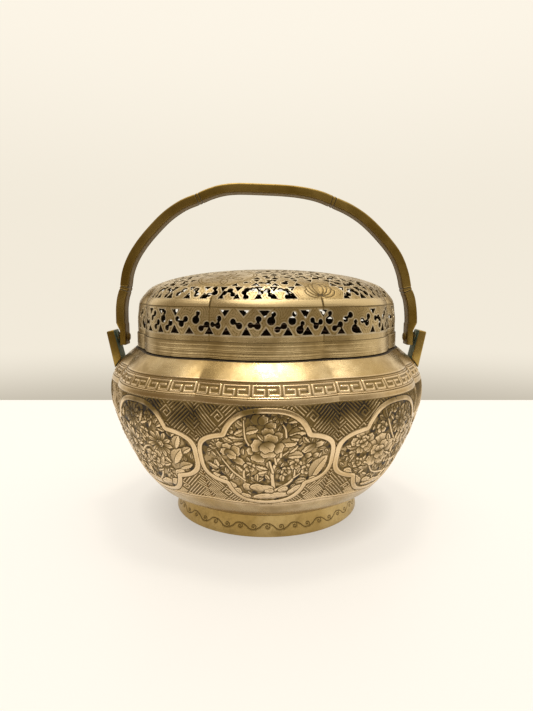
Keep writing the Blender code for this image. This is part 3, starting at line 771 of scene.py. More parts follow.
def make_bowl_core():
    """The bowl's body: lip, shoulder, wall and underside, let in under the chased band."""
    outer = bowl_line()
    out = normals_of(outer)
    heights = outer[:, 1]
    inside_band = (heights > BAND_BOTTOM) & (heights < BAND_TOP)
    band = outer[inside_band] - out[inside_band] * CORE_RECESS
    upper = outer[heights >= BAND_TOP]
    lower = outer[heights <= BAND_BOTTOM]
    edge_high = np.array([np.interp(-BAND_TOP, -heights, outer[:, 0]), BAND_TOP])
    edge_low = np.array([np.interp(-BAND_BOTTOM, -heights, outer[:, 0]), BAND_BOTTOM])
    step = 0.7 * CORE_RECESS
    inner = outer - out * BOWL_WALL
    floor = outer[-1, 1] + BOWL_WALL
    inner = inner[(inner[:, 1] > floor + 1.0) & (inner[:, 1] < BOWL_TOP - BOWL_WALL - 1.0)][::-1]
    lip = 0.8
    turn = np.linspace(0.0, 0.5 * math.pi, 7)
    mouth = [(MOUTH_RADIUS, BOWL_TOP - BOWL_WALL), (MOUTH_RADIUS, BOWL_TOP - lip)]
    mouth += [(MOUTH_RADIUS + lip * (1.0 - math.cos(t)), BOWL_TOP - lip + lip * math.sin(t)) for t in turn]
    profile = [(0.0, floor), (20.0, floor), (inner[0, 0] - BOWL_WALL, floor), *inner[::2], *mouth]
    inside_count = len(profile)
    profile += [*upper[:-1], edge_high, edge_high - step]
    profile += [p for p in band[::3] if edge_low[1] + 1.2 < p[1] < edge_high[1] - 1.8]
    profile += [edge_low - (step, -step), edge_low, *lower[1::2], (30.0, outer[-1, 1]), (0.0, outer[-1, 1])]
    profile = np.array(profile)
    # The inside is darkened, as soot and as painted shade seen through the lid's holes; so is the lip's root,
    # a painted shadow in the gap under the lid.
    soot_and_gap_shade = (np.arange(len(profile)) < inside_count + 3)[:, None]
    softness = 0.3 * smooth_step(profile[:, 1:], BAND_TOP, BOWL_TOP)
    return turned("bowl_core", profile, bowl_depth, steps=512, dirt_and_shade=soot_and_gap_shade, softness=softness)


def make_bowl_relief(index, garden, flip, seed):
    """One lobe's chased skin: a fine front, a coarse back against the core, and flat edges on the creases."""
    line = bowl_line()[::-1]
    lengths = lengths_along(line)
    zero, low, high = (np.interp(z, line[:, 1], lengths) for z in (CHART_ZERO_HEIGHT, BAND_BOTTOM, BAND_TOP))
    along = np.linspace(low, high, RELIEF_ROWS + 1)
    profile = resampled(line, lengths, along)
    out = -normals_of(profile)
    across = np.linspace(-1.0, 1.0, RELIEF_COLUMNS + 1)
    angle = (index + 0.5 * across) * LOBE_ANGLE
    height, dirt_and_shade = chase_lobe(CHART_HALF * across[None, :], (along - zero)[:, None], garden, flip, seed)
    # The skin meets the core flush at its upper and lower edges.
    fade = smooth_step(along - low, 0.0, 0.6) * smooth_step(high - along, 0.0, 0.6)
    height = np.minimum(height * fade[:, None], 0.0)

    def placed(h, rows, columns):
        dips = bowl_depth(*profile[rows].T)[:, None] * dip(angle[columns])[None, :]
        radius = profile[rows, 0][:, None] - dips + h * out[rows, 0][:, None]
        z = profile[rows, 1][:, None] + h * out[rows, 1][:, None]
        return polar(radius, angle[columns], z)

    rows, columns = np.arange(RELIEF_ROWS + 1), np.arange(RELIEF_COLUMNS + 1)
    front = placed(height, rows, columns)
    back_rows, back_columns = rows[::BACK_STEP], columns[::BACK_STEP]
    back = placed(np.full((len(back_rows), len(back_columns)), -BACK_DEPTH), back_rows, back_columns)
    ids = np.arange(height.size).reshape(height.shape)
    back_ids = ids.size + np.arange(back[..., 0].size).reshape(back.shape[:2])
    quads = np.stack([ids[:-1, :-1], ids[:-1, 1:], ids[1:, 1:], ids[1:, :-1]], axis=-1).reshape(-1, 4)
    back_quads = quads_between(back_ids[:, :-1], back_ids[:, 1:])
    edges = [(ids[0], back_ids[0], True), (ids[-1], back_ids[-1], False)]
    edges += [(ids[:, 0], back_ids[:, 0], False), (ids[:, -1], back_ids[:, -1], True)]
    walls = []
    for fine, coarse, turned_round in edges:
        for k in range(len(coarse) - 1):
            face = list(fine[k * BACK_STEP : (k + 1) * BACK_STEP + 1]) + [coarse[k + 1], coarse[k]]
            walls.append(face[::-1] if turned_round else face)
    points = np.vstack([front.reshape(-1, 3), back.reshape(-1, 3)])
    obj = new_mesh(f"bowl_relief_{index}", points, [quads, back_quads, walls], 60.0)
    none = np.zeros(back_ids.size)
    # Raised points are paler: partly wear, partly painted highlight.
    rub_and_sheen = np.clip((height - box_blur(height, 2)) / 0.12, 0.0, 1.0)
    set_attribute(obj, "dirt_and_shade", np.concatenate([dirt_and_shade.ravel(), none]))
    set_attribute(obj, "rub_and_sheen", np.concatenate([rub_and_sheen.ravel(), none]))
    return obj


# ---------------------------------------------------------------- foot, collar, liner


def make_foot_ring():
    """The foot, tapered towards the bowl, with a scroll cut into its face."""
    top_radius = FOOT_RADIUS - FOOT_TAPER
    inner = top_radius - FOOT_THICKNESS
    standing_inner = FOOT_RADIUS - FOOT_THICKNESS
    face = [(top_radius, FOOT_HEIGHT - 0.3), (FOOT_RADIUS - 0.75 * FOOT_TAPER, 0.6 * FOOT_HEIGHT)]
    face += [(FOOT_RADIUS - 0.1, 1.2)]
    foot = [(FOOT_RADIUS, 0.7), (FOOT_RADIUS - 0.08, 0.3), (FOOT_RADIUS - 0.35, 0.0)]
    profile = [(inner + 0.3, FOOT_HEIGHT), (top_radius - 0.3, FOOT_HEIGHT), *smooth_line(face, 19), *foot]
    profile += [(standing_inner + 0.3, 0.0), (standing_inner, 0.3), (inner, FOOT_HEIGHT - 0.3)]
    profile = np.array(profile)
    r, z = profile[:, :1], profile[:, 1:]
    # A running scroll: a tail that sweeps into a curl, turned over in every second half period.
    periods, per_period = 23, 62
    half_period = math.pi * FOOT_RADIUS / periods
    x = ((np.arange(per_period) / per_period) * 2.0 * half_period)[None, :]
    y = z - 0.47 * FOOT_HEIGHT
    turn = np.linspace(0.0, 1.3 * 2.0 * math.pi, 50)
    radius = 1.45 * np.exp(-0.2 * turn)
    curl = np.stack([1.15 * radius * np.sin(turn), radius * np.cos(turn)], axis=1)
    curl = np.vstack([smooth_line([(-5.4, -1.35), (-3.4, -0.2), (-1.8, 1.15), (0.0, 1.45)], 6)[:-1], curl])
    distance = np.full((len(profile), per_period), 9.0)
    for k in range(-1, 4):
        centre = (k + 0.55) * half_period
        distance = np.minimum(distance, line_distance(x - centre, y * (-1.0) ** k, curl))
    line = cover(distance - 0.23, 0.16)
    on_face = (r > top_radius - 0.01) & (z > 0.9) & (z < FOOT_HEIGHT - 0.4)
    line = np.tile(line * on_face, (1, periods))
    seam = hump(z - FOOT_HEIGHT, 0.5) * 0.8
    darkening = np.maximum(0.5 * line, seam)
    steps = periods * per_period
    return turned(
        "foot_ring_scrolled", profile, steps=steps, closed=True,
        relief=-0.2 * line, dirt_and_shade=darkening, sharp_degrees=40.0,
    )  # fmt: skip


def make_collar():
    """The upright ring in the bowl's mouth, rounded at its top."""
    inner = COLLAR_RADIUS - COLLAR_THICKNESS
    bottom, top = LID_BOTTOM, LID_BOTTOM + COLLAR_HEIGHT
    turn = np.linspace(0.0, math.pi, 13)
    half = 0.5 * COLLAR_THICKNESS
    crown = [(inner + half - half * math.cos(t), top - half + half * math.sin(t)) for t in turn]
    profile = crown + [(COLLAR_RADIUS, bottom), (inner, bottom)]
    return turned("neck_collar_rounded", profile, lid_depth, closed=True)


def make_liner_pan():
    """The ash pan, from its floor up to its flange."""
    outer = smooth_line(LINER_OUTLINE, 6)
    inner = outer - normals_of(outer) * LINER_WALL
    inner[0] = (inner[0][0], LINER_TOP)
    inner[-1] = (inner[-1][0], outer[-1][1] + LINER_WALL)
    profile = [(0.0, inner[-1][1]), (20.0, inner[-1][1])] + [tuple(p) for p in inner[::-1]]
    profile += [(FLANGE_RADIUS, LINER_TOP), (FLANGE_RADIUS, outer[0][1])]
    profile += [tuple(p) for p in outer] + [(20.0, outer[-1][1]), (0.0, outer[-1][1])]
    return turned("liner_pan_spun", profile, liner_depth, steps=256, sharp_degrees=30.0)


def make_rim_wire():
    """The round wire on the pan's flange."""
    centre_r = 0.5 * (LINER_OUTLINE[0][0] - LINER_WALL + FLANGE_RADIUS)
    centre_z = LINER_TOP + TOUCH_GAP + RIM_WIRE_RADIUS
    turn = -2.0 * math.pi * np.arange(16) / 16
    profile = np.stack([np.cos(turn), np.sin(turn)], axis=1) * RIM_WIRE_RADIUS + (centre_r, centre_z)
    return turned("liner_rim_wire_round", profile, lid_depth, closed=True, sharp_degrees=40.0)


# ---------------------------------------------------------------- lid


def cut_grid(chart, triangles, values, same=None):
    """The part of a triangle grid where the values are positive, cut along their zero line.

    same gives, for each grid point, the point that it is one with where the grid closes on itself. The chart
    points and the triangles come back.
    """
    if same is None:
        same = np.arange(len(chart))
    inside = values > 0.0
    count = inside[triangles].sum(axis=1)
    pieces = [same[triangles[count == 3]]]
    new_points, keys = [], []
    total = len(chart)
    mixed = triangles[(count == 1) | (count == 2)]
    lone_inside = inside[mixed].sum(axis=1) == 1
    lone = np.argmax(inside[mixed] == lone_inside[:, None], axis=1)
    row = np.arange(len(mixed))
    p, q, r = mixed[row, lone], mixed[row, (lone + 1) % 3], mixed[row, (lone + 2) % 3]
    for a, b in ((p, q), (p, r)):
        # t runs from the point inside to the one outside, so both triangles of an edge agree.
        a, b = np.where(inside[a], a, b), np.where(inside[a], b, a)
        t = np.clip(values[a] / (values[a] - values[b]), 0.12, 0.88)[:, None]
        new_points.append(chart[a] * (1.0 - t) + chart[b] * t)
        low, high = np.minimum(same[a], same[b]), np.maximum(same[a], same[b])
        keys.append(low.astype(np.int64) * total + high)
    _, index, inverse = np.unique(np.concatenate(keys), return_index=True, return_inverse=True)
    cut_points = np.concatenate(new_points)[index]
    pq, pr = total + inverse[: len(mixed)], total + inverse[len(mixed) :]
    p, q, r = same[p], same[q], same[r]
    pieces.append(np.stack([p, pq, pr], axis=1)[lone_inside])
    two = ~lone_inside
    pieces.append(np.stack([pq, q, r], axis=1)[two])
    pieces.append(np.stack([pq, r, pr], axis=1)[two])
    faces = np.concatenate(pieces)
    used, faces = np.unique(faces, return_inverse=True)
    return np.vstack([chart, cut_points])[used], faces.reshape(-1, 3)


def grid_triangles(columns, rows):
    """Triangles of a grid of points numbered column by column, split along alternate diagonals."""
    i, j = np.meshgrid(np.arange(columns - 1), np.arange(rows - 1), indexing="ij")
    a = i * rows + j
    b, c, d = a + rows, a + rows + 1, a + 1
    even = ((i + j) % 2 == 0)[..., None]
    first = np.where(even, np.stack([a, b, c], -1), np.stack([a, b, d], -1))
    second = np.where(even, np.stack([a, c, d], -1), np.stack([b, c, d], -1))
    return np.concatenate([first.reshape(-1, 3), second.reshape(-1, 3)])


def sheet(name, outer, inner, faces, dirt_and_shade, pale):
    """A closed sheet between two skins with the same faces, walled round every edge, and dark inside: soot
    and painted shade.
    """
    count = len(outer)
    edges = np.concatenate([faces[:, [0, 1]], faces[:, [1, 2]], faces[:, [2, 0]]]).astype(np.int64)
    forward = edges[:, 0] * count + edges[:, 1]
    reverse = edges[:, 1] * count + edges[:, 0]
    rim = edges[~np.isin(forward, reverse)]
    walls = np.stack([rim[:, 0], rim[:, 0] + count, rim[:, 1] + count, rim[:, 1]], axis=1)
    both = np.concatenate([faces, faces[:, ::-1] + count])
    obj = new_mesh(name, np.vstack([outer, inner]), [both, walls], 38.0)
    # The inner skin is fully dark: soot, and painted shade behind the holes.
    set_attribute(obj, "dirt_and_shade", np.concatenate([dirt_and_shade, np.ones(count)]))
    set_attribute(obj, "pale", np.concatenate([pale, np.zeros(count)]))
    return obj


def blob_chain(x, y, cx, cy, turn, kind, size):
    """Distance to a hole of round blobs joined by a narrow neck: a dumbbell, a U, an S or a comma."""
    u, v = local(x, y, cx, cy, turn)
    spots = BLOBS[kind]
    best = line_distance(u, v, [(size * sx, size * sy) for sx, sy, _ in spots], 0.5 * size)
    for sx, sy, radius in spots:
        best = np.minimum(best, np.hypot(u - size * sx, v - size * sy) - size * radius)
    return best


def wedge(x, y, cx, cy, turn, width, height):
    """Distance to a triangular hole. Its base is centred on a point and its tip lies in turn's direction."""
    u, v = local(x, y, cx, cy, turn)
    slant = math.atan2(0.5 * width, height)
    return np.maximum(-u, np.abs(v) * math.cos(slant) + (u - height) * math.sin(slant))


def near(x, y, cx, cy, reach):
    """Indices of the points close to one, so that a small hole costs little."""
    return np.flatnonzero((np.abs(x - cx) < reach) & (np.abs(y - cy) < reach))


def crease_away(angle):
    """Angle to the nearest crease."""
    return np.abs((angle / LOBE_ANGLE) % 1.0 - 0.5) * LOBE_ANGLE


class Piercing:
    """Distance from the nearest hole over a chart, positive in the metal, and the lines chased round it."""

    def __init__(self, x, y):
        self.x, self.y = x, y
        self.metal = np.full(x.shape, 50.0)
        self.line = np.zeros(x.shape)
        self.pale = np.zeros(x.shape)

    def hole(self, cx, cy, shape, *details):
        index = near(self.x, self.y, cx, cy, 8.0)
        distance = shape(self.x[index], self.y[index], cx, cy, *details)
        self.metal[index] = np.minimum(self.metal[index], distance)

    def ring(self, cx, cy, radius, width, depth):
        index = near(self.x, self.y, cx, cy, radius + 1.0)
        distance = np.abs(np.hypot(self.x[index] - cx, self.y[index] - cy) - radius) - 0.5 * width
        self.line[index] = np.maximum(self.line[index], depth * cover(distance, 0.2))

    def outline_holes(self, reach):
        """Pale rims round the holes, partly painted glint, and lines chased round them a millimetre apart, as
        far as reach.
        """
        self.pale = cover(self.metal - 0.3, 0.2)
        contour = cover(np.abs((self.metal - 0.35) % 1.0 - 0.5) - 0.12, 0.2)
        contour = contour * (self.metal < reach) * (self.metal > 0.5)
        self.line = np.maximum(self.line * (1.0 - self.pale), 0.62 * contour)


def make_lid_rim_band():
    """The plain strip at the lid's lower edge, with five turned grooves."""
    inner = LID_RADIUS - LID_THICKNESS
    face = np.array([(LID_RADIUS, RIM_BAND_TOP - 0.25), (LID_RADIUS, LID_BOTTOM + 0.3)])
    grooves = [(90.6, 0.3, 0.05), (88.7, 0.4, 0.1), (88.1, 0.3, 0.07), (86.6, 0.4, 0.1), (85.8, 0.3, 0.06)]
    face, darkening = grooved(face, grooves)
    head = [(inner, RIM_BAND_TOP), (LID_RADIUS - 0.35, RIM_BAND_TOP), (LID_RADIUS - 0.1, RIM_BAND_TOP - 0.08)]
    foot = [(LID_RADIUS - 0.1, LID_BOTTOM + 0.1), (LID_RADIUS - 0.35, LID_BOTTOM), (inner, LID_BOTTOM)]
    profile = np.vstack([head, face, foot])
    # The top inner edge is a dark joint; the lower lip is darkened fully, a painted shadow in the gap under
    # the lid.
    darkening = np.concatenate([[1.0, 1.0, 0.7], 0.75 * darkening, [0.7, 1.0, 1.0]])[:, None]
    return turned("lid_rim_band_grooved", profile, lid_depth, closed=True, dirt_and_shade=darkening, sharp_degrees=32.0)


def make_lid_wall():
    """The lid's upright side: a plain strip, then a row of blobbed holes between two rows of triangles."""
    cells = 6 * LOBES
    pitch = 2.0 * math.pi * LID_RADIUS / cells
    around = pitch * cells
    columns, rows = 1240, 42
    x = np.linspace(0.0, around, columns + 1)
    y = np.linspace(RIM_BAND_TOP + 0.02, DOME_OUTLINE[-1][1] - 0.02, rows)
    chart_x, chart_y = (values.ravel() for values in np.meshgrid(x, y, indexing="ij"))
    piercing = Piercing(chart_x, chart_y)
    low, high = 95.3, 105.6
    middle, upper, lower = 100.3, 102.3, 98.5
    for i in range(-1, cells + 1):
        random = np.random.default_rng([WALL_SEED, i % cells])
        lean = random.uniform(-1.0, 1.0, 8)
        kind = random.integers(0, 8)
        # The far side is cut finer and higher up, so that little light shows through from the front.
        behind = i % cells < 0.5 * cells
        size, lift = (0.85, 1.4) if behind else (1.0, 0.0)
        edge = i * pitch
        if kind < 3:
            place = edge + 0.5 * pitch + 0.5 * lean[0]
            piercing.hole(place, middle + lift + 0.5 * lean[1], blob_chain, 0.9 * lean[2], kind, 1.2 * size)
        else:
            for place, level, tilt in ((0.3, upper, lean[1]), (0.7, lower + lift, lean[2])):
                comma = tilt > 0.2
                details = (0.8 + 0.4 * tilt, 3 if comma else 0, (1.35 if comma else 1.15) * size)
                piercing.hole(edge + place * pitch + 0.3 * lean[3], level, blob_chain, *details)
        height = 1.3 if behind else 3.4 + 0.5 * lean[4]
        piercing.hole(edge + 0.7 * lean[4], low, wedge, math.pi / 2.0, 4.7 + 0.7 * lean[5], height)
        if lean[0] > -0.4:
            width, height = 4.5 + 0.7 * lean[7], 2.9 + 0.5 * lean[5]
            piercing.hole(edge + 0.9 * lean[6], high, wedge, -math.pi / 2.0, width, height)
    piercing.outline_holes(4.0)
    shown = chart_y > low - 0.3
    strip = cover(np.abs(chart_y - (low - 0.6)) - 0.1, 0.16)
    same = np.arange(len(chart_x))
    same[-rows:] = np.arange(rows)
    # Further chart values carry the chased lines and the pale rims, partly painted glints, through the cut.
    pale = np.maximum(piercing.pale * shown, strip)
    chart = np.stack([chart_x, chart_y, piercing.line * shown, pale], axis=1)
    chart, faces = cut_grid(chart, grid_triangles(columns + 1, rows), piercing.metal, same)
    angle = chart[:, 0] / around * 2.0 * math.pi
    taper = WALL_TAPER * np.clip((chart[:, 1] - WALL_BOTTOM) / (WALL_TOP - WALL_BOTTOM) * 2.0 - 1.0, 0.0, 1.0)
    swell = LID_RADIUS - 0.5 - taper - CREASE_DEPTH * dip(angle)
    skins = [polar(radius, angle, chart[:, 1]) for radius in (swell - 0.1 * chart[:, 2], swell - SHEET_SHOWN)]
    # Painted shade darkens the wall along each crease.
    crease = 0.4 * hump(dip(angle) - 1.0, 0.03)
    return sheet("lid_wall_pierced", *skins, faces, np.maximum(chart[:, 2], crease), chart[:, 3])


def petal_ring(piercing, s, angle, size, count, turn):
    """Chased outlines of a round flower."""
    centre = moved(0.0, 0.0, s, angle)
    for i in range(count):
        piercing.ring(*moved(*centre, 0.62 * size, turn + 2.0 * math.pi * i / count), 0.4 * size, 0.42, 0.9)
    piercing.ring(*centre, 0.24 * size, 0.42, 0.9)


def chased_leaf(piercing, cx, cy, turn, length, width):
    """The outline and midrib of a leaf or pointed petal."""
    index = near(piercing.x, piercing.y, cx, cy, length + 1.0)
    u, v = local(piercing.x[index], piercing.y[index], cx, cy, turn)
    distance = leaf_distance(u, v, length, width)
    inside = cover(distance, 0.2)
    line = cover(np.abs(distance) - 0.22, 0.2)
    rib = cover(np.maximum(np.abs(v) - 0.1, np.abs(u - 0.5 * length) - 0.36 * length), 0.2)
    # A petal laid on top hides the lines under it.
    piercing.line[index] = np.maximum(piercing.line[index] * (1.0 - inside), np.maximum(line, 0.6 * rib))


def pierce_dome(piercing):
    """The dome's holes, and the flower panels left between them."""
    medallions = [(46.0, (k + 0.5) * LOBE_ANGLE, 13.2) for k in range(1, LOBES, 2)]
    blossoms = [(60.0, (k + 0.5) * LOBE_ANGLE) for k in range(0, LOBES, 2)]

    def on_panel(s, angle, reach):
        place = moved(0.0, 0.0, s, angle)
        for ms, ma, radius in medallions:
            if math.dist(place, moved(0.0, 0.0, ms, ma)) < radius + reach:
                return True
        for bs, ba in blossoms:
            away = (angle - ba + math.pi) % (2.0 * math.pi) - math.pi
            if abs(s - bs) < 5.6 + reach * 0.5 and abs(away) * bs < 7.5 + reach:
                return True
        return False

    for number, (s, count) in enumerate(DOME_ROWS):
        pitch = 2.0 * math.pi / count
        shift = 0.5 * (number % 2)
        for i in range(count):
            random = np.random.default_rng([DOME_SEED, number, i])
            angle = (i + shift) * pitch
            place = moved(0.0, 0.0, s, angle)
            if not on_panel(s, angle, 3.0):
                turn, kind = random.uniform(0.0, math.pi), random.integers(0, 4)
                piercing.hole(*place, blob_chain, turn, kind, random.uniform(1.15, 1.3))
            elif not on_panel(s, angle, 1.2):
                piercing.hole(*place, blob_chain, angle + math.pi / 2.0, 3, 0.8)
            between = angle + (0.5 + random.uniform(-0.16, 0.16)) * pitch
            for side, tip in ((1.0, math.pi), (-1.0, 0.0)):
                base = s + side * 3.7
                if 8.0 < base and not on_panel(base - side, between, 1.0):
                    size = random.uniform(3.3, 4.2)
                    piercing.hole(*moved(0.0, 0.0, base, between), wedge, between + tip, size, 0.9 * size)
    for i in range(8):
        angle = (i + 0.5) * LOBE_ANGLE
        piercing.hole(*moved(0.0, 0.0, 8.6, angle), wedge, angle + math.pi, 3.0, 3.2)
    piercing.outline_holes(2.2)
    petal_ring(piercing, 0.0, 0.0, 7.0, 8, 0.0)
    for s, angle, radius in medallions:
        centre = moved(0.0, 0.0, s, angle)
        piercing.ring(*centre, radius, 0.4, 1.0)
        piercing.ring(*centre, radius - 1.2, 0.42, 0.8)
        for k in range(3):
            a = angle + k * 2.0 * math.pi / 3.0
            chased_leaf(piercing, *moved(*centre, 4.0, a), a + 0.35, 7.6, 3.6)
            chased_leaf(piercing, *moved(*centre, 3.6, a + 1.0), a + 1.25, 6.6, 3.0)
        petal_ring(piercing, s, angle, 5.0, 6, angle)
    for s, angle in blossoms:
        foot = moved(0.0, 0.0, s + 5.0, angle)
        for spread in (1.2, -1.2, 0.8, -0.8, 0.4, -0.4, 0.0):
            chased_leaf(piercing, *foot, angle + math.pi + spread, 9.0 - 0.8 * abs(spread), 4.8)


def make_dome():
    """The domed top, cut through with rings of blobbed holes and triangles round chased flower panels."""
    line = smooth_line(DOME_OUTLINE, 24)
    lengths = lengths_along(line)
    out = normals_of(line)
    reach = lengths[-1]
    step = 0.44
    half = int(math.ceil(reach / step)) + 1
    axis = step * np.arange(-half, half + 1)
    x, y = (values.ravel() for values in np.meshgrid(axis, axis, indexing="ij"))
    s = np.hypot(x, y)
    piercing = Piercing(x, y)
    pierce_dome(piercing)
    # The edge band is left whole.
    metal = np.maximum(piercing.metal, np.minimum(s - reach + DOME_BAND, 50.0))
    metal = np.minimum(metal, reach - 0.02 - s)
    chased = piercing.line * smooth_step(reach - DOME_BAND - 0.3 - s, -0.3, 0.3)
    angle = np.arctan2(y, x)
    # Each crease near the edge is pressed in slightly and darkened, a painted shade.
    crease = hump(crease_away(angle) * s, 0.45) * smooth_step(s, reach - 8.0, reach - 3.0)
    edge_line = 0.6 * cover(np.abs(s - reach + DOME_BAND - 0.2) - 0.12, 0.2)
    groove = np.maximum(np.maximum(crease, edge_line), 0.9 * smooth_step(s, reach - 0.7, reach))
    chart = np.stack([x, y, np.maximum(chased, groove), piercing.pale], axis=1)
    chart, faces = cut_grid(chart, grid_triangles(len(axis), len(axis)), metal)
    s = np.hypot(chart[:, 0], chart[:, 1])
    angle = np.arctan2(chart[:, 1], chart[:, 0])
    skins = []
    for offset in (-0.1 * chart[:, 2], np.full(len(s), -SHEET_SHOWN)):
        place = resampled(line, lengths, s) + offset[:, None] * resampled(out, lengths, s)
        z = np.maximum(place[:, 1], line[-1, 1])
        r = place[:, 0] - dome_depth(np.interp(s, lengths, line[:, 0]), z) * dip(angle, 0.035)
        skins.append(polar(r, angle, z))
    dome = sheet("lid_dome_pierced", *skins, faces, chart[:, 2], chart[:, 3])
    # The edge band is painted paler: a painted highlight.
    painted_highlight = smooth_step(s, reach - DOME_BAND - 0.2, reach - DOME_BAND + 0.4)
    set_attribute(dome, "rub_and_sheen", np.concatenate([painted_highlight, np.zeros(len(s))]))
    return dome


# ---------------------------------------------------------------- bail, ears and rivets

# Points 0 to 3 of a box go round its one end, and points 4 to 7 round the other
BOX_FACES = [(3, 2, 1, 0), (4, 5, 6, 7)] + [(k, (k + 1) % 4, (k + 1) % 4 + 4, k + 4) for k in range(4)]


def make_bail():
    """A flat bar between two outlines: flat sides, lined edges inside, and rings cut at its four nodes."""
    line = [smooth_line(stretch, 16) for stretch in BAIL_STRETCHES]
    stations = np.vstack([part[:-1] for part in line[:-1]] + [line[-1]])
    nodes = np.cumsum([len(part) - 1 for part in line[:-1]]) + 14
    side = normals_of(stations)
    heel_x = BAIL_HEEL[0]
    start = np.linspace((heel_x, BAIL_END), BAIL_HEEL, 9, endpoint=False)
    start = np.vstack([start, np.linspace(BAIL_HEEL, stations[0], 5, endpoint=False)])
    start_inner = np.stack([np.full(14, BAIL_INNER_END), start[:, 1]], axis=1)
    other = np.array([-1.0, 1.0])
    end = np.linspace(BAIL_HEEL * other, (heel_x, BAIL_END) * other, 10)
    end = np.vstack([np.linspace(stations[-1], end[0], 6)[1:-1], end])
    end_inner = np.stack([np.full(14, -BAIL_INNER_END), end[:, 1]], axis=1)
    outer = np.vstack([start, stations - 0.04 * abs(side) * np.sign(stations), end])
    inner = np.vstack([start_inner, stations + side * BAIL_THICKNESS, end_inner])
    # Section: distance across the bar, and the part of the way from the inner face to the outer one.
    quarter = [
        (0.0, 1.0), (0.5, 0.995), (0.84, 0.98), (0.95, 0.94), (0.99, 0.87), (1.0, 0.78), (1.0, 0.4),
        (1.0, 0.14), (0.985, 0.07), (0.96, 0.04), (0.93, 0.06), (0.9, 0.02), (0.84, 0.0), (0.76, 0.01),
        (0.72, 0.06), (0.68, 0.03), (0.4, 0.02), (0.0, 0.02),
    ]  # fmt: skip
    section = np.array(quarter + [(-w, t) for w, t in quarter[-2:0:-1]])
    darkening = np.where(np.array(quarter)[:, 1] < 0.1, 0.5, 0.0)
    darkening[[8, 10, 14]] = (0.5, 1.0, 0.8)
    darkening = np.concatenate([darkening, darkening[-2:0:-1]])
    station = lengths_along(0.5 * (outer + inner))
    fine = [station[:1]]
    for before, after in zip(station[:-1], station[1:]):
        nearest = np.abs(0.5 * (before + after) - station[nodes]).min()
        fine.append(np.linspace(before, after, 6 if nearest < 3.2 else 2)[1:])
    fine = np.concatenate(fine)
    outer, inner = (resampled(edge, station, fine) for edge in (outer, inner))
    ringed = np.zeros(len(fine))
    for node in nodes:
        for offset in (-0.9, 0.9):
            ringed = np.maximum(ringed, hump(fine - station[node] - offset, 0.32))
    across = 0.5 * BAIL_WIDTH * section[None, :, 0] * (1.0 - 0.04 * ringed)[:, None]
    t = 0.5 + (section[None, :, 1] - 0.5) * (1.0 - 0.1 * ringed)[:, None]
    place = inner[:, None, :] * (1.0 - t[..., None]) + outer[:, None, :] * t[..., None]
    points = np.stack([place[..., 0], across, place[..., 1]], axis=-1)
    rows, columns = points.shape[:2]
    ids = np.arange(rows * columns).reshape(rows, columns)
    quads = quads_between(ids, np.roll(ids, -1, axis=1))
    bail = new_mesh("bail_bar", points.reshape(-1, 3), [quads, [list(ids[0]), list(ids[-1][::-1])]], 40.0)
    set_attribute(bail, "dirt_and_shade", np.maximum(ringed[:, None], darkening[None, :]))
    return bail


def drill(obj, side):
    """Cuts the pivot hole through a piece."""
    place = Matrix.Translation((side * EAR_FACE * MM, 0.0, PIVOT_HEIGHT * MM))
    place = place @ Matrix.Rotation(math.pi / 2.0, 4, "Y")
    work = bmesh.new()
    radius, depth = HOLE_RADIUS * MM, 30.0 * MM
    sizes = {"segments": 40, "radius1": radius, "radius2": radius, "depth": depth}
    bmesh.ops.create_cone(work, cap_ends=True, matrix=place, **sizes)
    mesh = bpy.data.meshes.new("drill")
    work.to_mesh(mesh)
    work.free()
    cutter = linked("drill", mesh)
    boolean = obj.modifiers.new("pivot_hole", "BOOLEAN")
    boolean.operation = "DIFFERENCE"
    boolean.object = cutter
    apply_modifiers(obj)
    bpy.data.objects.remove(cutter, do_unlink=True)


def apply_modifiers(obj):
    graph = bpy.context.evaluated_depsgraph_get()
    mesh = bpy.data.meshes.new_from_object(obj.evaluated_get(graph))
    obj.modifiers.clear()
    obj.data = mesh


def make_ear(side, side_name):
    """A leaning plate with worn edges, rooted in the shoulder."""
    up = Vector((math.sin(EAR_LEAN), math.cos(EAR_LEAN)))
    out = Vector((math.cos(EAR_LEAN), -math.sin(EAR_LEAN)))
    inner_top = Vector((EAR_FACE, PIVOT_HEIGHT)) + up * EAR_RISE
    outer_top = inner_top + out * EAR_THICKNESS
    outline = [tuple(inner_top), tuple(outer_top), EAR_TOE, EAR_HEEL]
    half = 0.5 * EAR_WIDTH
    points = [(side * x, y, z) for y in (-half, half) for x, z in outline]
    faces = [face[::-1] for face in BOX_FACES] if side > 0 else BOX_FACES
    ear = new_mesh("ear_plate_" + side_name, np.array(points), [faces], 30.0)
    bevel = ear.modifiers.new("worn_edges", "BEVEL")
    bevel.width = 0.7 * MM
    bevel.segments = 4
    bevel.limit_method = "ANGLE"
    apply_modifiers(ear)
    drill(ear, side)
    shade_smooth(ear.data, 35.0)
    # The side towards the bowl is crusted green and darkened, partly as painted shade.
    crust_and_shade = [1.0 if side * face.normal.x < -0.6 else 0.0 for face in ear.data.polygons]
    set_attribute(ear, "dirt_and_shade", crust_and_shade, "FACE")
    return ear


def make_rivet(side, side_name):
    """A domed head inside the bail, a shank and a peened end flush with the ear."""
    head_base = BAIL_INNER_END - TOUCH_GAP
    rise = 0.6 * RIVET_HEAD_HEIGHT
    turn = np.linspace(0.0, 0.5 * math.pi, 12)
    head = [(RIVET_HEAD_RADIUS * math.cos(t) ** 0.8, head_base - rise * math.sin(t)) for t in turn[:-1]]
    profile = [(0.0, RIVET_REACH), (0.8, RIVET_REACH - 0.02), (1.15, RIVET_REACH - 0.15)]
    profile += [(RIVET_RADIUS, RIVET_REACH - 0.5), (RIVET_RADIUS, head_base), *head, (0.0, head_base - rise)]
    rivet = turned("pivot_rivet_domed_" + side_name, profile, steps=48, dirt_and_shade=0.4, sharp_degrees=40.0)
    spin = Matrix.Rotation(side * math.pi / 2.0, 4, "Y")
    rivet.matrix_world = Matrix.Translation((0.0, 0.0, PIVOT_HEIGHT * MM)) @ spin
    return rivet


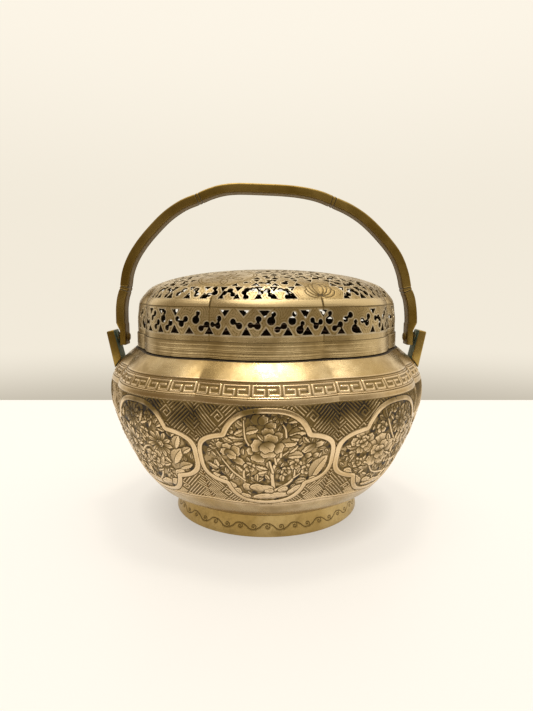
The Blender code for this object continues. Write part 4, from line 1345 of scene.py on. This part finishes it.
def make_washer(side, side_name):
    """A flat ring with bevelled edges that lies along the leaning ear."""
    half = 0.5 * WASHER_THICKNESS
    edge = 0.16
    profile = [(HOLE_RADIUS, half), (WASHER_RADIUS - edge, half), (WASHER_RADIUS, half - edge)]
    profile += [(r, -z) for r, z in profile[::-1]]
    washer = turned("pivot_washer_round_" + side_name, profile, steps=56, closed=True, sharp_degrees=30.0)
    centre = EAR_FACE - (TOUCH_GAP + half) / math.cos(EAR_LEAN)
    spin = Matrix.Rotation(side * (math.pi / 2.0 + EAR_LEAN), 4, "Y")
    washer.matrix_world = Matrix.Translation((side * centre * MM, 0.0, PIVOT_HEIGHT * MM)) @ spin
    return washer


# ---------------------------------------------------------------- materials

# Colours laid on the metals: dirt and painted shade in floors and recesses, specks, pale lines and painted
# glints, and verdigris
FLOOR_DIRT_AND_SHADE = (0.185, 0.115, 0.022)
RECESS_DIRT_AND_SHADE = (0.030, 0.017, 0.004)
SPECK = (0.012, 0.011, 0.012)
PALE = (0.74, 0.68, 0.55)
GREENS = ((0.055, 0.105, 0.085), (0.16, 0.235, 0.185))


class Nodes:
    """Short names for adding shader nodes to a material or a world, and for wiring them."""

    def __init__(self, owner):
        owner.use_nodes = True
        self.tree = owner.node_tree

    def wire(self, socket, value):
        if isinstance(value, bpy.types.NodeSocket):
            self.tree.links.new(value, socket)
        else:
            socket.default_value = value

    def add(self, kind, *inputs, **settings):
        node = self.tree.nodes.new(kind)
        for key, value in settings.items():
            setattr(node, key, value)
        for socket, value in zip(node.inputs, inputs):
            if value is not None:
                self.wire(socket, value)
        return node

    def maths(self, operation, a, b=0.0, c=0.0, clamp=False):
        return self.add("ShaderNodeMath", a, b, c, operation=operation, use_clamp=clamp).outputs[0]

    def times(self, a, b):
        return self.maths("MULTIPLY", a, b)

    def plus(self, a, b):
        return self.maths("ADD", a, b)

    def larger(self, a, b):
        return self.maths("MAXIMUM", a, b)

    def scaled(self, vector, factors):
        return self.add("ShaderNodeVectorMath", vector, factors, operation="MULTIPLY").outputs[0]

    def mix(self, factor, a, b):
        node = self.tree.nodes.new("ShaderNodeMix")
        node.data_type = "RGBA"
        for index, value in ((0, factor), (6, a), (7, b)):
            if isinstance(value, tuple) and len(value) == 3:
                value = (*value, 1.0)
            self.wire(node.inputs[index], value)
        return node.outputs[2]

    def noise(self, vector, scale, detail=4.0, roughness=0.55):
        node = self.add("ShaderNodeTexNoise")
        self.wire(node.inputs["Vector"], vector)
        node.inputs["Scale"].default_value = scale
        node.inputs["Detail"].default_value = detail
        node.inputs["Roughness"].default_value = roughness
        return node.outputs["Fac"]

    def between(self, value, low, high):
        """0 below low, 1 above high."""
        node = self.add("ShaderNodeMapRange", value, low, high, 0.0, 1.0, interpolation_type="SMOOTHSTEP")
        return node.outputs[0]

    def attribute(self, name):
        return self.add("ShaderNodeAttribute", attribute_name=name).outputs["Fac"]


def metal(name, tones, roughness, brushed=0.0, speckle=1.0, verdigris=0.0, grain=1.0):
    """Aged metal. tones are a body colour, a paler worn one and a duller stained one.

    A dirt_and_shade of 0.5 turns to the floor colour and one of 1 to the recess colour, for dirt and painted
    shade alike, and both lose their gloss. Rubbed edges and painted highlights turn to the worn colour, pale
    lines and painted glints to PALE, and specks of dirt gather. grain is how much the fine noise shows,
    brushed how deep the lathe lines are, and verdigris how much of the metal is green.
    """
    material = bpy.data.materials.new(name)
    n = Nodes(material)
    body, worn_and_highlight, stained = tones
    place = n.add("ShaderNodeTexCoord").outputs["Object"]
    mm = n.scaled(place, (1000.0,) * 3)
    dirt_and_shade = n.attribute("dirt_and_shade")
    patches = n.between(n.noise(mm, 0.035, 3.0), 0.36, 0.66)
    mottle = n.between(n.noise(mm, 0.16, 5.0, 0.65), 0.42, 0.72)
    fine = n.noise(mm, 1.6, 4.0, 0.6)
    colour = n.mix(patches, body, worn_and_highlight)
    colour = n.mix(n.times(mottle, 0.5), colour, stained)
    colour = n.mix(n.times(n.between(fine, 0.45, 0.8), 0.3 * grain), colour, stained)
    # Raised points and the dome's edge band turn paler: wear, and painted highlight.
    colour = n.mix(n.times(n.attribute("rub_and_sheen"), 0.8), colour, worn_and_highlight)
    # Pale rims and lines; the rims are partly painted glints.
    pale = n.times(n.attribute("pale"), 0.5)
    colour = n.mix(pale, colour, PALE)
    dirt_and_shade_mask = n.between(dirt_and_shade, 0.1, 0.45)
    colour = n.mix(dirt_and_shade_mask, colour, FLOOR_DIRT_AND_SHADE)
    centred = n.maths("SUBTRACT", fine, 0.5)
    deep = n.between(n.plus(dirt_and_shade, n.times(centred, 0.5)), 0.55, 0.95)
    colour = n.mix(deep, colour, RECESS_DIRT_AND_SHADE)
    # Black specks gather mostly where the dirt and painted shade lie.
    speck_noise = n.plus(n.noise(mm, 0.55, 3.0, 0.7), n.times(dirt_and_shade_mask, 0.1))
    specks = n.maths("MULTIPLY", n.between(speck_noise, 0.735, 0.775), speckle, clamp=True)
    colour = n.mix(specks, colour, SPECK)
    dull = n.larger(n.larger(n.times(dirt_and_shade_mask, 0.8), deep), n.larger(specks, pale))
    if verdigris:
        crust = n.plus(n.noise(mm, 0.42, 5.0, 0.7), n.times(dirt_and_shade, 0.3))
        green = n.times(n.between(crust, 0.62 - 0.3 * verdigris, 0.8 - 0.3 * verdigris), 0.9)
        colour = n.mix(green, colour, n.mix(n.noise(mm, 1.1), *GREENS))
        dull = n.larger(dull, green)
    rough = n.plus(roughness - 0.06, n.times(mottle, 0.1))
    rough = n.plus(rough, n.times(centred, 0.22 * grain))
    # Small dents, grain, scratches, and lathe lines that follow the height.
    height = n.plus(n.times(fine, 0.35 * grain), n.times(n.noise(mm, 0.09, 2.0, 0.5), 2.2))
    lathe_lines = n.noise(n.scaled(mm, (0.03, 0.03, 1.0)), 2.6, 3.0, 0.7)
    height = n.plus(height, n.times(lathe_lines, brushed))
    scratches = n.between(n.noise(n.scaled(mm, (1.0, 0.3, 0.12)), 1.9, 2.0, 0.4), 0.62, 0.66)
    height = n.maths("SUBTRACT", height, n.times(scratches, 0.12))
    height = n.plus(height, n.times(n.times(fine, dull), 0.9))
    bump = n.add("ShaderNodeBump")
    bump.inputs["Strength"].default_value = 0.5
    bump.inputs["Distance"].default_value = 0.12 * MM
    n.wire(bump.inputs["Height"], height)
    shader = n.tree.nodes["Principled BSDF"].inputs
    n.wire(shader["Base Color"], colour)
    n.wire(shader["Metallic"], n.maths("SUBTRACT", 1.0, n.times(dull, 0.8)))
    n.wire(shader["Roughness"], n.maths("ADD", rough, n.times(dull, 0.3), clamp=True))
    n.wire(shader["Normal"], bump.outputs[0])
    return material


def finish(obj, material, body, slot, *nodes):
    """Gives a piece its metal and body, and hides the CAD solids it stands for. slot is not used."""
    obj.data.materials.clear()
    obj.data.materials.append(material)
    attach(obj, body)
    if nodes:
        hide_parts(*nodes)


# ---------------------------------------------------------------- stage

CAMERA_PLACE = (0.0, -0.2916, 0.1155)
CAMERA_TILT = 7.16
CAMERA_LENS = 28.02


def make_camera():
    camera = bpy.data.cameras.new("camera")
    camera.sensor_fit = "VERTICAL"
    camera.sensor_height = 36.0
    camera.lens = CAMERA_LENS
    camera.clip_start = 0.01
    obj = linked("camera", camera)
    obj.location = CAMERA_PLACE
    obj.rotation_euler = (math.radians(90.0 - CAMERA_TILT), 0.0, 0.0)
    bpy.context.scene.camera = obj


def make_table():
    """A pale table top whose far edge lies behind the censer.

    It glows a little, as paper does in a bright room, but less in the crack under the foot: a painted contact
    shadow.
    """
    left, right, far, near_edge, thickness = -0.42, 0.5, 0.263, -0.42, 0.03
    outline = ((left, near_edge), (right, near_edge), (right, far), (left, far))
    mesh = bpy.data.meshes.new("table")
    mesh.from_pydata([(x, y, z) for z in (-thickness, 0.0) for x, y in outline], [], BOX_FACES)
    table = linked("table", mesh)
    material = bpy.data.materials.new("table_white")
    n = Nodes(material)
    shader = n.tree.nodes["Principled BSDF"].inputs
    shader["Base Color"].default_value = (0.27, 0.265, 0.25, 1.0)
    shader["Roughness"].default_value = 0.5
    shader["Emission Color"].default_value = (1.0, 0.945, 0.87, 1.0)
    # Ambient occlusion dims the glow next to the foot, a painted contact shadow.
    open_sky = n.add("ShaderNodeAmbientOcclusion", samples=8)
    open_sky.inputs["Distance"].default_value = 0.02
    n.wire(shader["Emission Strength"], n.maths("MULTIPLY_ADD", open_sky.outputs["AO"], 0.24, 0.41))
    mesh.materials.append(material)


def make_light(name, location, aim, size, power):
    light = bpy.data.lights.new(name, "AREA")
    light.shape = "RECTANGLE"
    light.size, light.size_y = size
    light.energy = power
    light.color = (1.0, 0.95, 0.86)
    obj = linked(name, light)
    obj.location = location
    obj.rotation_euler = (Vector(aim) - Vector(location)).to_track_quat("-Z", "Y").to_euler()


def make_world():
    """A cream room: a pale wall that greys at its foot, a dark corner on the left, and a duller front."""
    world = bpy.data.worlds.new("room")
    bpy.context.scene.world = world
    n = Nodes(world)
    place = n.add("ShaderNodeTexCoord").outputs["Generated"]
    x, y, z = n.add("ShaderNodeSeparateXYZ", place).outputs
    wall = n.mix(n.between(z, 0.1, 0.45), (0.887, 0.823, 0.701), (0.985, 0.92, 0.80))
    wall = n.mix(n.between(z, -0.215, -0.1), (0.535, 0.485, 0.395), wall)
    low = n.mix(n.between(x, -0.3, 0.3), (0.19, 0.155, 0.11), (0.29, 0.25, 0.18))
    front = n.mix(n.between(z, 0.25, 0.8), low, (0.95, 0.9, 0.8))
    room = n.mix(n.between(y, -0.7, 0.2), front, wall)
    corner = n.times(n.between(x, -0.2, -0.75), n.between(y, 0.7, 0.1))
    room = n.mix(corner, room, (0.30, 0.25, 0.18))
    n.wire(n.tree.nodes["Background"].inputs[0], room)


def make_stage():
    make_table()
    make_world()
    make_light("ceiling", (-0.07, -0.15, 1.2), (0.0, -0.05, 0.0), (1.0, 1.2), 6.5)
    make_light("lamp", (0.02, 0.05, 1.0), (0.0, 0.0, 0.05), (0.15, 0.15), 2.3)
    bpy.context.scene.view_settings.view_transform = "Standard"


# ---------------------------------------------------------------- the censer

BRASS = ((0.50, 0.35, 0.15), (0.70, 0.54, 0.30), (0.33, 0.22, 0.085))
LID = ((0.43, 0.305, 0.135), (0.74, 0.57, 0.31), (0.28, 0.19, 0.075))
FOOT = ((0.46, 0.31, 0.105), (0.60, 0.44, 0.19), (0.32, 0.21, 0.065))
ROSY = ((0.56, 0.385, 0.175), (0.86, 0.66, 0.41), (0.38, 0.25, 0.10))
# Dark brass of the bail, ears, rivets and washers: patina, partly a painted reflection of the dim room in
# front.
DARK = ((0.31, 0.19, 0.035), (0.50, 0.34, 0.10), (0.155, 0.09, 0.015))
# Copper darkened nearly to black: soot, and painted shade in the gap under the lid and seen through its
# holes.
COPPER_SOOT_AND_SHADE = ((0.10, 0.06, 0.04), (0.16, 0.10, 0.06), (0.05, 0.035, 0.025))
# Garden and mirroring of each lobe, from +X round through +Y; the one that faces -Y has the first garden
LOBE_GARDENS = [(1, -1), (0, -1), (2, 1), (1, 1), (2, -1), (1, 1), (0, 1), (2, 1)]


def main():
    make_camera()
    chased = metal("chased_brass", ROSY, roughness=0.27)
    plain = metal("plain_brass", BRASS, roughness=0.33, brushed=0.5, speckle=0.7)
    lid = metal("lid_brass", LID, roughness=0.34, brushed=0.9, speckle=0.8)
    foot = metal("foot_brass", FOOT, roughness=0.38, brushed=0.3)
    dark = metal("handle_brass", DARK, roughness=0.31, speckle=0.5, grain=0.35)
    ears = metal("ear_brass", DARK, roughness=0.33, speckle=0.5, verdigris=0.12, grain=0.35)
    green = metal("green_brass", DARK, roughness=0.6, verdigris=1.0)
    sooty_shaded_copper = metal("liner_copper", COPPER_SOOT_AND_SHADE, roughness=0.5, brushed=0.8)

    finish(make_bowl_core(), plain, "vessel", "bowl_brass", "bowl_shell")
    for index, (garden, flip) in enumerate(LOBE_GARDENS):
        relief = make_bowl_relief(index, GARDENS[garden], flip, 100 + index)
        finish(relief, chased, "vessel", "bowl_brass")
    finish(make_foot_ring(), foot, "vessel", "bowl_brass", "foot_ring")
    finish(make_collar(), sooty_shaded_copper, "vessel", "bowl_brass", "neck_collar")
    finish(make_lid_rim_band(), lid, "lid", "lid_brass", "lid_rim_band")
    finish(make_lid_wall(), lid, "lid", "lid_brass", "lid_wall")
    finish(make_dome(), lid, "lid", "lid_brass", "lid_top")
    finish(make_liner_pan(), sooty_shaded_copper, "liner", "liner_copper", "liner_pan")
    finish(make_rim_wire(), sooty_shaded_copper, "liner", "liner_copper", "liner_rim_wire")
    bail = make_bail()
    for side, side_name in ((-1.0, "left"), (1.0, "right")):
        drill(bail, side)
        finish(make_ear(side, side_name), ears, "vessel", "handle_brass", "ear_" + side_name)
        finish(make_rivet(side, side_name), dark, "vessel", "handle_brass", "pivot_rivet_" + side_name)
        finish(make_washer(side, side_name), green, "vessel", "green_brass", "pivot_washer_" + side_name)
    shade_smooth(bail.data, 40.0)
    finish(bail, dark, "bail", "handle_brass", "bail_handle")
    make_stage()


main()
